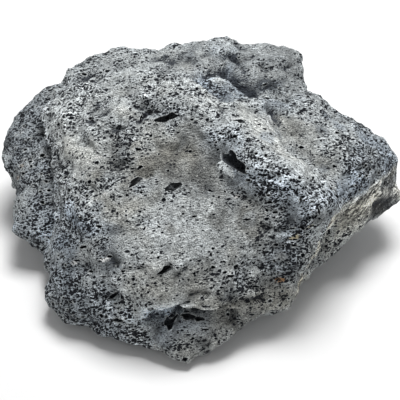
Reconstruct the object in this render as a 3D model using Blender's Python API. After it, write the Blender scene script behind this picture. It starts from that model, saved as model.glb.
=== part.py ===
"""Lava rock: one loose lump of vesicular basalt that lies on its flattest face.

The form is star shaped about one inner point, the heart: every direction from the heart
meets the surface once.  Named landmarks say where the surface lies, a smooth reach function
passes through them, seeded swells make it uneven, and narrow carves add its steps and
troughs.  A subdivided cube takes that form, and ellipsoids cut the largest gas bubbles.

Form coordinates are millimetres on a rock of the nominal length, +Z up from the floor.
"""

import math

import bmesh
import bpy
import numpy as np
from mathutils import Matrix, Vector

# Driving dimensions -----------------------------------------------------------------------

ROCK_LENGTH = 0.258               # along X, metres
NOMINAL_LENGTH = 258.0            # the length that the landmarks are given for, millimetres
MM = ROCK_LENGTH / NOMINAL_LENGTH   # one form millimetre, in metres

CELLS = 27                        # grid cells along each edge of the cube
HEART = np.array([0.0, 8.0, 48.0])   # inner point that every reach is measured from

# The sighting grid.  A landmark on the side that faces the front station is written as
# (column, row, height): the column and row that a sight line from the station passes on an
# upright grid, and the height of the point above the floor in millimetres.
STATION_TILT = math.radians(42.0)    # sight lines look down this much at the grid's centre
STATION_DISTANCE = 466.7             # station to grid
GRID_CENTRE = (200.0, 200.0)         # column and row of the grid's centre
GRID_STEP = 0.6                      # one column or row
GRID_POINT = np.array([0.0, 0.0, 50.0])   # where the grid's centre stands

SIGHT_FROM = 130.0                   # height above the whole rock, where a sight line is entered
SIGHT_STEPS = 1500                   # steps of about 0.1 mm from there to the floor

LOOK = np.array([0.0, math.cos(STATION_TILT), -math.sin(STATION_TILT)])
ACROSS = np.array([1.0, 0.0, 0.0])
UPWARD = np.array([0.0, math.sin(STATION_TILT), math.cos(STATION_TILT)])
STATION = GRID_POINT - LOOK * STATION_DISTANCE

# Landmarks that run along a feature and are filled in at every LANDMARK_SPACING
LANDMARK_SPACING = 9.0
LINES = {
    "shoulder": [(58, 90, 78), (49, 98, 78), (42, 108, 77), (40, 118, 75), (43, 130, 71), (50, 165, 60),
                 (52, 205, 46), (50, 242, 31)],
    "lip": [(75, 82, 88), (90, 79, 93), (105, 77, 97), (138, 72, 102), (172, 73, 104), (188, 77, 104),
            (200, 85, 102), (222, 102, 98)],
    "ridge": [(200, 98, 102), (214, 110, 101), (240, 140, 97), (262, 172, 91), (295, 200, 81),
              (312, 210, 75), (325, 218, 69)],
    "trough right of the ridge": [(262, 98, 91), (288, 131, 86), (318, 162, 78), (335, 175, 73)],
    "edge over the strip": [(396, 167, 50), (385, 177, 54), (372, 187, 57), (358, 197, 59), (346, 205, 59),
                            (335, 218, 57), (327, 232, 51), (320, 246, 44), (312, 262, 33), (304, 278, 20)],
}

# Single landmarks, by the part of the rock they shape
SPOTS = {
    "back crest": [(57, 84, 73), (66, 73, 79), (79, 61, 84), (95, 55, 87), (112, 52, 90), (130, 49, 91),
                   (148, 49, 90), (158, 49, 90), (168, 47, 93), (180, 44, 94), (196, 41, 96), (212, 40, 97),
                   (220, 37, 98), (234, 39, 97), (246, 44, 95), (258, 44, 96), (272, 44, 95), (288, 46, 93),
                   (301, 52, 90), (303, 62, 88), (300, 77, 85)],
    "right crest": [(299, 83, 84), (300, 89, 83), (313, 92, 82), (324, 103, 79), (336, 114, 74),
                    (348, 116, 73), (362, 122, 70), (374, 134, 66), (385, 146, 61), (396, 155, 55)],
    "right foot": [(397, 163, 50), (396, 172, 46), (399, 184, 40), (398, 196, 33), (396, 202, 30),
                   (387, 213, 28), (372, 222, 26), (360, 230, 25), (348, 237, 24), (342, 248, 22),
                   (330, 259, 20), (315, 271, 17), (302, 283, 14), (298, 293, 12), (291, 303, 11),
                   (286, 311, 10), (272, 315, 10), (259, 319, 10), (246, 325, 9), (223, 344, 8),
                   (205, 354, 8), (187, 363, 7)],
    "left foot": [(172, 359, 8), (152, 349, 9), (140, 343, 10), (120, 341, 10), (97, 333, 11), (87, 325, 12),
                  (72, 323, 12), (61, 317, 13), (49, 307, 15), (45, 296, 17), (43, 285, 18), (49, 273, 20),
                  (51, 265, 22), (44, 251, 24)],
    "left lobe rim": [(43, 248, 22), (30, 244, 21), (18, 238, 22), (13, 226, 25), (13, 208, 29), (13, 191, 33),
                      (7, 175, 38), (3, 160, 43), (1, 148, 47), (4, 137, 51), (9, 127, 55), (13, 116, 58),
                      (25, 106, 62), (38, 95, 66), (50, 86, 70)],
    "left lobe face": [(22, 125, 61), (20, 150, 55), (26, 175, 49), (28, 200, 42), (30, 225, 34)],
    "back shelf": [(90, 66, 87), (112, 60, 89), (135, 57, 90), (152, 58, 90), (168, 60, 92)],
    "peaks": [(190, 54, 95), (208, 52, 95), (222, 49, 97), (236, 51, 96), (215, 66, 92), (240, 62, 94)],
    "hollow behind the ridge": [(210, 80, 93), (228, 82, 91), (240, 92, 89), (256, 92, 88)],
    "back block": [(262, 58, 95), (280, 60, 94), (294, 62, 91), (264, 74, 92), (280, 78, 90), (295, 77, 87),
                   (275, 90, 87), (292, 92, 85)],
    "plateau": [(60, 108, 86), (80, 98, 92), (100, 92, 97), (150, 86, 103), (80, 120, 89), (105, 112, 94),
                (130, 106, 98), (160, 104, 101), (185, 106, 103), (205, 116, 100), (125, 126, 93),
                (150, 126, 94), (175, 124, 96)],
    "under the plateau": [(105, 145, 86), (145, 150, 86), (185, 146, 87), (220, 152, 87)],
    "scoop": [(90, 150, 83), (115, 172, 80), (155, 171, 79), (190, 174, 78), (155, 188, 77), (208, 192, 75)],
    "front": [(68, 150, 77), (70, 180, 70), (100, 185, 75), (130, 195, 75), (160, 207, 73), (200, 212, 71),
              (238, 208, 70), (72, 210, 61), (105, 215, 66), (140, 225, 67), (180, 232, 67), (220, 232, 65),
              (250, 235, 62), (68, 240, 49), (100, 245, 56), (150, 255, 59), (205, 258, 58), (242, 258, 53),
              (62, 270, 37), (95, 275, 43), (145, 283, 47), (200, 285, 45), (262, 275, 41), (58, 295, 25),
              (90, 300, 30), (130, 306, 34), (180, 308, 37), (225, 306, 35), (268, 300, 29)],
    "slope behind the ridge": [(245, 112, 98), (278, 152, 92), (315, 188, 81), (335, 200, 74)],
    "slope before the ridge": [(232, 182, 79), (250, 195, 76), (268, 210, 72), (288, 225, 68), (303, 240, 60),
                               (275, 245, 57), (295, 262, 50)],
    "right lobe": [(290, 103, 88), (306, 110, 85), (322, 122, 82), (338, 132, 79), (354, 143, 76),
                   (370, 152, 71), (383, 160, 63), (348, 162, 75), (364, 173, 68), (379, 172, 60),
                   (354, 187, 66)],
    "lower front face": [(150, 328, 22), (160, 340, 16), (186, 338, 18), (215, 332, 20), (245, 320, 20)],
}

# Landmarks that no sight line from the station reaches: (x, y, z) in form millimetres
HIDDEN = {
    "edge of the resting face": [(-10, -66, 0), (30, -48, 0), (60, -15, 0), (78, 20, 0), (62, 62, 0),
                                 (15, 84, 0), (-45, 82, 0), (-80, 55, 0), (-88, 15, 0), (-72, -28, 0),
                                 (-42, -56, 0)],
    "below the resting face": [(0, 0, -6), (30, 40, -5), (-40, 40, -5), (0, -35, -4), (-45, 0, -5),
                               (35, 0, -4)],
    "drop behind the crest": [(-80, 104, 75), (-68, 108, 78), (-46, 111, 82), (-22, 111, 83), (-2, 110, 88),
                              (10, 110, 89), (22, 109, 89), (36, 106, 86), (50, 107, 86), (64, 102, 83)],
    "notch in the right crest": [(67, 79, 78), (70, 81, 70)],
    "behind the crest": [(-86, 103, 57), (-62, 113, 65), (-30, 115, 69), (5, 117, 74), (28, 114, 73),
                         (52, 111, 71), (72, 101, 68), (76, 85, 61), (97, 66, 56)],
    "back": [(-98, 93, 42), (-66, 113, 46), (-36, 112, 48), (8, 120, 48), (38, 111, 50), (64, 106, 48),
             (95, 70, 36), (-90, 84, 19), (-52, 107, 24), (-20, 110, 22), (10, 109, 20), (38, 98, 24),
             (62, 90, 16), (93, 54, 18)],
    "under the right lobe": [(112, 34, 26), (92, 18, 18), (70, -8, 10)],
    "under the left lobe": [(-104, 6, 14), (-92, -22, 8), (-112, 45, 28)],
}

# Swells: (amplitude, wavelength) in millimetres, coarse to fine
SWELLS = [(1.1, 52.0), (1.0, 30.0), (0.75, 17.0)]
SWELL_WAVES = 40                  # plane waves summed in each swell
SWELL_SEED = 7
CREST_CALM = 0.75                 # share of the swells that is left out along the back crest
CREST_FROM = (85.0, 55.0)         # y and z where that begins
CREST_FADE = 22.0                 # and how far it takes

# The fit of the reach function to the landmarks
ROUNDING = 0.05                   # on the unit sphere, keeps the form free of spikes
SMOOTHING = 0.001                 # lets close landmarks disagree a little
REACH_UNIT = 100.0                # the fit works on this length over the reach
BLOCK = 20000                     # directions worked out at a time, to save memory
TINY = 1e-6                       # keeps a division from meeting zero

# Carves: a line of sights, the half width of the bank on its steep side and of the gentle
# side, the depth, and the way from the line to the gentle side in columns and rows
CARVES = {
    "groove beside the shoulder": ([(47, 97), (37, 108), (33, 118), (36, 131), (41, 148), (44, 168), (45, 188),
                                    (45, 208), (45, 228), (43, 243)], 4.0, 12.0, 4.5, (-1, 0)),
    "trough behind the lip": ([(78, 76), (95, 73), (115, 68), (135, 65), (152, 65), (166, 66), (180, 69),
                               (194, 74), (204, 84), (214, 94), (226, 100)], 3.0, 9.0, 6.0, (1, -4)),
    "foot of the peaks": ([(200, 70), (215, 68), (232, 68), (245, 74)], 3.0, 8.0, 3.5, (0, 1)),
    "recess under the plateau": ([(104, 133), (125, 133), (148, 129), (170, 127)], 3.0, 13.0, 5.0, (0, 1)),
    "step below the recess": ([(100, 153), (115, 165), (130, 171), (146, 175)], 2.5, 9.0, 3.5, (1, -4)),
    "top of the scoop": ([(150, 138), (170, 136), (192, 136), (212, 142)], 4.0, 12.0, 3.5, (0, 1)),
    "small step": ([(75, 137), (88, 145)], 2.0, 5.0, 2.5, (1, 3)),
    "crevice over the ledge": ([(152, 322), (165, 318), (178, 315), (195, 318), (212, 320), (235, 318)],
                               2.5, 7.0, 7.0, (0, 1)),
    "step on the lower left": ([(100, 300), (115, 296), (128, 300)], 2.5, 6.0, 2.5, (0, 1)),
}

# Largest gas bubbles on the side that faces the station: (column, row), the turn of the
# length from the columns in degrees towards the lower rows, then length, width and depth
SIGHTED_BUBBLES = [
    ((165, 119), -22, (12.0, 4.6, 5.0)), ((174, 186), -18, (8.0, 4.0, 4.0)),
    ((137, 180), -38, (10.0, 3.2, 2.4)), ((233, 163), 35, (16.0, 7.0, 7.0)),
    ((166, 271), -24, (8.0, 4.6, 4.4)), ((240, 121), 0, (6.4, 2.4, 3.0)),
    ((243, 86), 31, (17.0, 6.0, 8.0)), ((118, 322), 4, (6.6, 2.6, 3.0)),
    ((113, 296), -8, (6.8, 3.0, 3.0)), ((155, 312), -6, (10.0, 3.0, 3.0)),
    ((184, 317), -3, (24.0, 5.0, 6.0)), ((231, 277), -15, (5.6, 3.2, 3.0)),
]

# And on the other sides: the direction from the heart, the direction of the length, the sizes
HIDDEN_BUBBLES = [
    ((0.15, 1.0, 0.1), (1.0, 0.0, 0.3), (13.0, 6.0, 6.0)),
    ((-0.5, 0.9, -0.1), (1.0, 0.4, -0.2), (9.0, 5.0, 4.0)),
    ((0.7, 0.8, 0.0), (0.7, -0.6, 0.4), (8.0, 4.0, 4.0)),
    ((-1.0, 0.15, -0.15), (0.1, 1.0, 0.3), (10.0, 5.0, 4.5)),
    ((1.0, -0.05, -0.2), (0.1, 1.0, 0.2), (9.0, 5.0, 4.0)),
    ((0.2, 1.0, -0.35), (1.0, -0.1, -0.1), (7.0, 4.0, 3.5)),
    ((-0.25, 0.9, 0.25), (1.0, 0.2, 0.5), (6.5, 4.0, 3.5)),
    ((-0.8, -0.6, -0.15), (0.6, -0.8, 0.1), (7.0, 4.0, 3.5)),
]


def on_sight(column, row, height):
    """The point of the given height on the sight line through a column and row."""
    sight = (LOOK * STATION_DISTANCE
             + ACROSS * (column - GRID_CENTRE[0]) * GRID_STEP
             + UPWARD * (GRID_CENTRE[1] - row) * GRID_STEP)
    return STATION + sight * (height - STATION[2]) / sight[2]


def filled_in(points, spacing):
    """The points of a polyline with evenly spaced ones added along each of its segments."""
    rows = [points[:1]]
    for start, end in zip(points[:-1], points[1:]):
        count = max(1, round(np.linalg.norm(end - start) / spacing))
        share = np.arange(1, count + 1)[:, None] / count
        rows.append(start + (end - start) * share)
    return np.concatenate(rows)


def all_landmarks():
    """Every landmark as a point in form millimetres."""
    lines = [filled_in(np.array([on_sight(*sight) for sight in line]), LANDMARK_SPACING)
             for line in LINES.values()]
    spots = [np.array([on_sight(*sight) for sight in group]) for group in SPOTS.values()]
    hidden = [np.array(group, float) for group in HIDDEN.values()]
    return np.concatenate(lines + spots + hidden)


def wave_field(points, wavelength, seed):
    """Smooth noise of unit size: cosines of one band of wavelengths, in random directions."""
    rng = np.random.default_rng(seed)
    direction = rng.normal(size=(SWELL_WAVES, 3))
    direction /= np.linalg.norm(direction, axis=1)[:, None]
    number = 2 * math.pi / wavelength / rng.uniform(0.75, 1.35, SWELL_WAVES)
    phase = rng.uniform(0, 2 * math.pi, SWELL_WAVES)
    return np.cos(points @ (direction * number[:, None]).T + phase).sum(1) * math.sqrt(2 / SWELL_WAVES)


def swell(points):
    """The uneven part of the reach at points near the surface."""
    waves = sum(size * wave_field(points, wavelength, SWELL_SEED + step)
                for step, (size, wavelength) in enumerate(SWELLS))
    _, y, z = points.T
    far_back = np.clip((y - CREST_FROM[0]) / CREST_FADE, 0, 1)
    high_up = np.clip((z - CREST_FROM[1]) / CREST_FADE, 0, 1)
    return waves * (1 - CREST_CALM * far_back * high_up)


def spread(directions, others):
    """Distances between unit directions, rounded off at zero so that the form has no spikes."""
    gap = directions[:, None] - others[None]
    return np.sqrt((gap ** 2).sum(-1) + ROUNDING ** 2)


def fit_reach(points):
    """Weights of the reach function that passes through the landmarks.

    The reciprocal of the reach is a weighted sum of spreads from each landmark's direction,
    plus a constant and a linear term in the direction.  A plane's reciprocal reach is linear,
    so flat faces between landmarks stay flat.
    """
    arm = points - HEART
    reach = np.linalg.norm(arm, axis=1)
    direction = arm / reach[:, None]
    count = len(points)
    trend = np.column_stack([np.ones(count), direction])
    system = np.zeros((count + 4, count + 4))
    system[:count, :count] = SMOOTHING * np.eye(count) - spread(direction, direction)
    system[:count, count:] = trend
    system[count:, :count] = trend.T
    target = np.append(REACH_UNIT / (reach - swell(points)), np.zeros(4))
    return direction, np.linalg.solve(system, target)


def smooth_reach(directions, fit):
    """The reach before it is carved and rested on the floor."""
    centres, weights = fit
    count = len(centres)
    shares = weights[count] + directions @ weights[count + 1:]
    for block in range(0, len(directions), BLOCK):
        part = slice(block, block + BLOCK)
        shares[part] -= spread(directions[part], centres) @ weights[:count]
    reach = REACH_UNIT / shares
    return reach + swell(HEART + directions * reach[:, None])


def sighted_surface(column, row, fit):
    """The first point of the smooth form that a sight line meets."""
    share = np.linspace(0, 1, SIGHT_STEPS)[:, None]
    start = on_sight(column, row, SIGHT_FROM)
    points = start + (on_sight(column, row, 0.0) - start) * share
    arm = points - HEART
    length = np.linalg.norm(arm, axis=1)
    inside = length < smooth_reach(arm / length[:, None], fit)
    return points[np.argmax(inside)]


def carve_depth(points, line, steep, gentle, depth, toward):
    """How far one carve lowers the surface at each point: a bell across its line."""
    nearest = np.full(len(points), np.inf)
    foot = np.zeros_like(points)
    for start, end in zip(line[:-1], line[1:]):
        along = end - start
        share = np.clip((points - start) @ along / (along @ along), 0, 1)
        place = start + share[:, None] * along
        distance = np.linalg.norm(points - place, axis=1)
        closer = distance < nearest
        nearest[closer] = distance[closer]
        foot[closer] = place[closer]
    side = (points - foot) @ toward / np.maximum(nearest, TINY)
    width = steep + (gentle - steep) * np.clip(side, 0, 1)
    return depth * np.exp(-(nearest / width) ** 2)


def reach_of(directions, fit):
    """The finished reach: smooth form, less the carves, cut off flat at the floor."""
    reach = smooth_reach(directions, fit)
    points = HEART + directions * reach[:, None]
    for sights, steep, gentle, depth, (columns, rows) in CARVES.values():
        line = np.array([sighted_surface(*sight, fit) for sight in sights])
        toward = ACROSS * columns - UPWARD * rows
        toward /= np.linalg.norm(toward)
        reach -= carve_depth(points, line, steep, gentle, depth, toward)
    downward = np.maximum(-directions[:, 2], TINY)
    return np.minimum(reach, HEART[2] / downward)


def cube_directions(cells):
    """Unit directions and quads of a cube that is subdivided and blown up to a sphere."""
    mesh = bmesh.new()
    bmesh.ops.create_cube(mesh, size=2.0)
    bmesh.ops.subdivide_edges(mesh, edges=mesh.edges[:], cuts=cells - 1, use_grid_fill=True)
    grid = np.array([vertex.co[:] for vertex in mesh.verts])
    quads = [[vertex.index for vertex in face.verts] for face in mesh.faces]
    mesh.free()
    directions = np.tan(grid * math.pi / 4)      # evens out the cells' angles
    return directions / np.linalg.norm(directions, axis=1)[:, None], quads


def stone_material():
    """Matt grey vesicular basalt."""
    material = bpy.data.materials.new("vesicular_basalt")
    material.use_nodes = True
    shader = material.node_tree.nodes["Principled BSDF"]
    shader.inputs["Base Color"].default_value = (0.19, 0.20, 0.205, 1.0)
    shader.inputs["Roughness"].default_value = 0.92
    shader.inputs["Metallic"].default_value = 0.0
    return material


def all_bubbles(fit):
    """The mouth, the direction of the length and the sizes of every large bubble."""
    for sight, turn, sizes in SIGHTED_BUBBLES:
        angle = math.radians(turn)
        yield sighted_surface(*sight, fit), ACROSS * math.cos(angle) - UPWARD * math.sin(angle), sizes
    for direction, along, sizes in HIDDEN_BUBBLES:
        direction = np.array([direction]) / np.linalg.norm(direction)
        yield HEART + direction[0] * smooth_reach(direction, fit)[0], np.array(along), sizes


def bubble_cutters(collection, fit, shift):
    """One wire object that holds an ellipsoid, centred on the surface, for each large bubble."""
    mesh = bmesh.new()
    for mouth, along, (length, width, depth) in all_bubbles(fit):
        inward = (HEART - mouth) / np.linalg.norm(HEART - mouth)
        along = along - inward * (along @ inward)
        along /= np.linalg.norm(along)
        axes = np.column_stack([along * length / 2, np.cross(inward, along) * width / 2, inward * depth])
        place = Matrix((axes * MM).tolist()).to_4x4()
        place.translation = Vector(((mouth - shift) * MM).tolist())
        bmesh.ops.create_icosphere(mesh, subdivisions=2, radius=1.0, matrix=place)
    data = bpy.data.meshes.new("bubble_cutters")
    mesh.to_mesh(data)
    mesh.free()
    cutters = bpy.data.objects.new("bubble_cutters", data)
    cutters.hide_render = True
    cutters.display_type = "WIRE"
    collection.objects.link(cutters)
    return cutters


def new_collection(name):
    collection = bpy.data.collections.new(name)
    bpy.context.scene.collection.children.link(collection)
    return collection


def rock_points(directions, fit):
    """Surface points in form millimetres, and the shift to the middle of their footprint."""
    points = HEART + directions * reach_of(directions, fit)[:, None]
    low, high = points.min(0), points.max(0)
    shift = np.array([(low[0] + high[0]) / 2, (low[1] + high[1]) / 2, low[2]])
    return points, shift


def main():
    for item in list(bpy.data.objects):
        bpy.data.objects.remove(item)

    fit = fit_reach(all_landmarks())
    directions, quads = cube_directions(CELLS)
    points, shift = rock_points(directions, fit)

    data = bpy.data.meshes.new("lava_rock")
    data.from_pydata(((points - shift) * MM).tolist(), [], quads)
    data.materials.append(stone_material())
    rock = bpy.data.objects.new("lava_rock", data)
    new_collection("lava_rock_parts").objects.link(rock)

    cutters = bubble_cutters(new_collection("cutters"), fit, shift)
    cut = rock.modifiers.new("largest bubbles", "BOOLEAN")
    cut.object = cutters
    cut.operation = "DIFFERENCE"
    cut.solver = "EXACT"


if __name__ == "__main__":
    main()
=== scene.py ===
# %% [markdown]
# # A lump of lava rock
#
# The thing on the bench is one loose lump of vesicular basalt: lava that froze with gas
# bubbles still in it.  It is one piece, so this lesson builds one mesh and one material.
# What makes it look like itself is layered by size: the big form (a shoulder, a lip, a
# scoop, a ridge), then lumps, then bubbles cut open by the broken surface, then pores and
# grain too small to model, which the material draws.

# %% Load the measured frame
import itertools
import math

import bpy
import numpy as np
from mathutils import Matrix, Vector


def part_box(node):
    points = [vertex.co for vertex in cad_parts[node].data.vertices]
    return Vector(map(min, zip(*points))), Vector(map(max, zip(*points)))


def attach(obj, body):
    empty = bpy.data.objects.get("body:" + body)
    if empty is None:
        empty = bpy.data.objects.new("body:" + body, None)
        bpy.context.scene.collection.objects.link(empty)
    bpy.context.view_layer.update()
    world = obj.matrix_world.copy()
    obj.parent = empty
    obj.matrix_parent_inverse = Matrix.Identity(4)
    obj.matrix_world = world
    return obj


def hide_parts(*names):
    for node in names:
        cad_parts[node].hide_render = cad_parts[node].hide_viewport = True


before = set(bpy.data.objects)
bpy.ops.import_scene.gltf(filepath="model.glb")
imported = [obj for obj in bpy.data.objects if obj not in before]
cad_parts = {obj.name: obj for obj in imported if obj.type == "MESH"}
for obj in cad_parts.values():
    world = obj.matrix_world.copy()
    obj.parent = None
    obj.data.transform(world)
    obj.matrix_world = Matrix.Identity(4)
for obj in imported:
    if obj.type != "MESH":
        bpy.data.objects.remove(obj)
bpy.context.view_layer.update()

MM = 0.001                                  # the form is worked out in millimetres
low_corner, high_corner = (np.array(corner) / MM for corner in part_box("lava_rock"))
print("frame box, mm:", low_corner.round(1), high_corner.round(1))

# %% [markdown]
# ## Where things are on the rock
#
# A rock has no edges to take a ruler to.  Surveyors have the same trouble with a hill, and
# they solve it with sights: stand at one station, and note each landmark by the column and
# row it shows at on an upright grid, plus its height above the floor.  Three numbers fix a
# point in space.  A sculptor could push a clay ball about by eye instead, but sights keep
# every ledge where it was seen, and the same list built the solid inside this rock.

# %% The sighting grid
STATION_TILT = math.radians(42.0)           # sight lines look down this much at the grid's centre
STATION_DISTANCE = 466.7                    # station to grid
GRID_CENTRE = (200.0, 200.0)                # column and row of the grid's centre
GRID_STEP = 0.6                             # one column or row
GRID_POINT = np.array([0.0, 0.0, 50.0])     # where the grid's centre stands

LOOK = np.array([0.0, math.cos(STATION_TILT), -math.sin(STATION_TILT)])
ACROSS = np.array([1.0, 0.0, 0.0])
UPWARD = np.array([0.0, math.sin(STATION_TILT), math.cos(STATION_TILT)])
FLOW = ACROSS * 0.98 + UPWARD * 0.20        # the way the lava was stretched
STATION = GRID_POINT - LOOK * STATION_DISTANCE


def on_sight(column, row, height):
    """The point of the given height on the sight line through a column and row."""
    sight = (LOOK * STATION_DISTANCE
             + ACROSS * (column - GRID_CENTRE[0]) * GRID_STEP
             + UPWARD * (GRID_CENTRE[1] - row) * GRID_STEP)
    return STATION + sight * (height - STATION[2]) / sight[2]


print("the grid's centre is sighted at", on_sight(*GRID_CENTRE, GRID_POINT[2]).round(1))

# %% [markdown]
# ## Landmarks
#
# Lines run along a feature: the lip is the bright arc round the plateau, the ridge comes
# down from it to the right, the strip is the broken side face under the right lobe.  Spots
# shape what lies between.  Hidden landmarks close the back and the underside, where no
# sight line goes, with one flat face to rest on.

# %% Landmark lines
LANDMARK_SPACING = 9.0
LINES = {
    "shoulder": [(58, 90, 78), (49, 98, 78), (42, 108, 77), (40, 118, 75), (43, 130, 71), (50, 165, 60),
                 (52, 205, 46), (50, 242, 31)],
    "lip": [(75, 82, 88), (90, 79, 93), (105, 77, 97), (138, 72, 102), (172, 73, 104), (188, 77, 104),
            (200, 85, 102), (222, 102, 98)],
    "ridge": [(200, 98, 102), (214, 110, 101), (240, 140, 97), (262, 172, 91), (295, 200, 81),
              (312, 210, 75), (325, 218, 69)],
    "trough right of the ridge": [(262, 98, 91), (288, 131, 86), (318, 162, 78), (335, 175, 73)],
    "edge over the strip": [(396, 167, 50), (385, 177, 54), (372, 187, 57), (358, 197, 59), (346, 205, 59),
                            (335, 218, 57), (327, 232, 51), (320, 246, 44), (312, 262, 33), (304, 278, 20)],
}

# %% Landmark spots
SPOTS = {
    "back crest": [(57, 84, 73), (66, 73, 79), (79, 61, 84), (95, 55, 87), (112, 52, 90), (130, 49, 91),
                   (148, 49, 90), (158, 49, 90), (168, 47, 93), (180, 44, 94), (196, 41, 96), (212, 40, 97),
                   (220, 37, 98), (234, 39, 97), (246, 44, 95), (258, 44, 96), (272, 44, 95), (288, 46, 93),
                   (301, 52, 90), (303, 62, 88), (300, 77, 85)],
    "right crest": [(299, 83, 84), (300, 89, 83), (313, 92, 82), (324, 103, 79), (336, 114, 74),
                    (348, 116, 73), (362, 122, 70), (374, 134, 66), (385, 146, 61), (396, 155, 55)],
    "right foot": [(397, 163, 50), (396, 172, 46), (399, 184, 40), (398, 196, 33), (396, 202, 30),
                   (387, 213, 28), (372, 222, 26), (360, 230, 25), (348, 237, 24), (342, 248, 22),
                   (330, 259, 20), (315, 271, 17), (302, 283, 14), (298, 293, 12), (291, 303, 11),
                   (286, 311, 10), (272, 315, 10), (259, 319, 10), (246, 325, 9), (223, 344, 8),
                   (205, 354, 8), (187, 363, 7)],
    "left foot": [(172, 359, 8), (152, 349, 9), (140, 343, 10), (120, 341, 10), (97, 333, 11), (87, 325, 12),
                  (72, 323, 12), (61, 317, 13), (49, 307, 15), (45, 296, 17), (43, 285, 18), (49, 273, 20),
                  (51, 265, 22), (44, 251, 24)],
    "left lobe rim": [(43, 248, 22), (30, 244, 21), (18, 238, 22), (13, 226, 25), (13, 208, 29),
                      (13, 191, 33), (7, 175, 38), (3, 160, 43), (1, 148, 47), (4, 137, 51),
                      (9, 127, 55), (13, 116, 58), (25, 106, 62), (38, 95, 66), (50, 86, 70)],
    "left lobe face": [(22, 125, 61), (20, 150, 55), (26, 175, 49), (28, 200, 42), (30, 225, 34)],
    "back shelf": [(90, 66, 87), (112, 60, 89), (135, 57, 90), (152, 58, 90), (168, 60, 92)],
    "peaks": [(190, 54, 95), (208, 52, 95), (222, 49, 97), (236, 51, 96), (215, 66, 92), (240, 62, 94)],
    "hollow behind the ridge": [(210, 80, 93), (228, 82, 91), (240, 92, 89), (256, 92, 88)],
    "back block": [(262, 58, 95), (280, 60, 94), (294, 62, 91), (264, 74, 92), (280, 78, 90), (295, 77, 87),
                   (275, 90, 87), (292, 92, 85)],
    "plateau": [(60, 108, 86), (80, 98, 92), (100, 92, 97), (150, 86, 103), (80, 120, 89), (105, 112, 94),
                (130, 106, 98), (160, 104, 101), (185, 106, 103), (205, 116, 100), (125, 126, 93),
                (150, 126, 94), (175, 124, 96)],
    "under the plateau": [(105, 145, 86), (145, 150, 86), (185, 146, 87), (220, 152, 87)],
    "scoop": [(90, 150, 83), (115, 172, 80), (155, 171, 79), (190, 174, 78), (155, 188, 77), (208, 192, 75)],
    "front": [(68, 150, 77), (70, 180, 70), (100, 185, 75), (130, 195, 75), (160, 207, 73), (200, 212, 71),
              (238, 208, 70), (72, 210, 61), (105, 215, 66), (140, 225, 67), (180, 232, 67), (220, 232, 65),
              (250, 235, 62), (68, 240, 49), (100, 245, 56), (150, 255, 59), (205, 258, 58), (242, 258, 53),
              (62, 270, 37), (95, 275, 43), (145, 283, 47), (200, 285, 45), (262, 275, 41), (58, 295, 25),
              (90, 300, 30), (130, 306, 34), (180, 308, 37), (225, 306, 35), (268, 300, 29)],
    "slope behind the ridge": [(245, 112, 98), (278, 152, 92), (315, 188, 81), (335, 200, 74)],
    "slope before the ridge": [(232, 182, 79), (250, 195, 76), (268, 210, 72), (288, 225, 68), (303, 240, 60),
                               (275, 245, 57), (295, 262, 50)],
    "right lobe": [(290, 103, 88), (306, 110, 85), (322, 122, 82), (338, 132, 79), (354, 143, 76),
                   (370, 152, 71), (383, 160, 63), (348, 162, 75), (364, 173, 68), (379, 172, 60),
                   (354, 187, 66)],
    "lower front face": [(150, 328, 22), (160, 340, 16), (186, 338, 18), (215, 332, 20), (245, 320, 20)],
}

# %% Hidden landmarks
HIDDEN = {
    "edge of the resting face": [(-10, -66, 0), (30, -48, 0), (60, -15, 0), (78, 20, 0), (62, 62, 0),
                                 (15, 84, 0), (-45, 82, 0), (-80, 55, 0), (-88, 15, 0), (-72, -28, 0),
                                 (-42, -56, 0)],
    "below the resting face": [(0, 0, -6), (30, 40, -5), (-40, 40, -5), (0, -35, -4), (-45, 0, -5),
                               (35, 0, -4)],
    "drop behind the crest": [(-80, 104, 75), (-68, 108, 78), (-46, 111, 82), (-22, 111, 83), (-2, 110, 88),
                              (10, 110, 89), (22, 109, 89), (36, 106, 86), (50, 107, 86), (64, 102, 83)],
    "notch in the right crest": [(67, 79, 78), (70, 81, 70)],
    "behind the crest": [(-86, 103, 57), (-62, 113, 65), (-30, 115, 69), (5, 117, 74), (28, 114, 73),
                         (52, 111, 71), (72, 101, 68), (76, 85, 61), (97, 66, 56)],
    "back": [(-98, 93, 42), (-66, 113, 46), (-36, 112, 48), (8, 120, 48), (38, 111, 50), (64, 106, 48),
             (95, 70, 36), (-90, 84, 19), (-52, 107, 24), (-20, 110, 22), (10, 109, 20), (38, 98, 24),
             (62, 90, 16), (93, 54, 18)],
    "under the right lobe": [(112, 34, 26), (92, 18, 18), (70, -8, 10)],
    "under the left lobe": [(-104, 6, 14), (-92, -22, 8), (-112, 45, 28)],
}


def filled_in(points, spacing):
    """The points of a polyline with evenly spaced ones added along each of its segments."""
    rows = [points[:1]]
    for start, end in zip(points[:-1], points[1:]):
        count = max(1, round(np.linalg.norm(end - start) / spacing))
        share = np.arange(1, count + 1)[:, None] / count
        rows.append(start + (end - start) * share)
    return np.concatenate(rows)


def all_landmarks():
    """Every landmark as a point in form millimetres."""
    lines = [filled_in(np.array([on_sight(*sight) for sight in line]), LANDMARK_SPACING)
             for line in LINES.values()]
    spots = [np.array([on_sight(*sight) for sight in group]) for group in SPOTS.values()]
    hidden = [np.array(group, float) for group in HIDDEN.values()]
    return np.concatenate(lines + spots + hidden)


landmarks = all_landmarks()
print(len(landmarks), "landmarks")

# %% [markdown]
# ## From landmarks to a surface
#
# The rock is star shaped: from one point inside, its heart, every direction meets the
# surface once.  So the whole form is a single function, the reach in a direction, and it can
# be fitted through the landmarks at once.  What is fitted is one over the reach, because for
# a flat face that is a straight-line function of the direction, so broken faces stay flat.
# Swells, smooth noise made of a few dozen cosine waves, make the fitted skin uneven.

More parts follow.
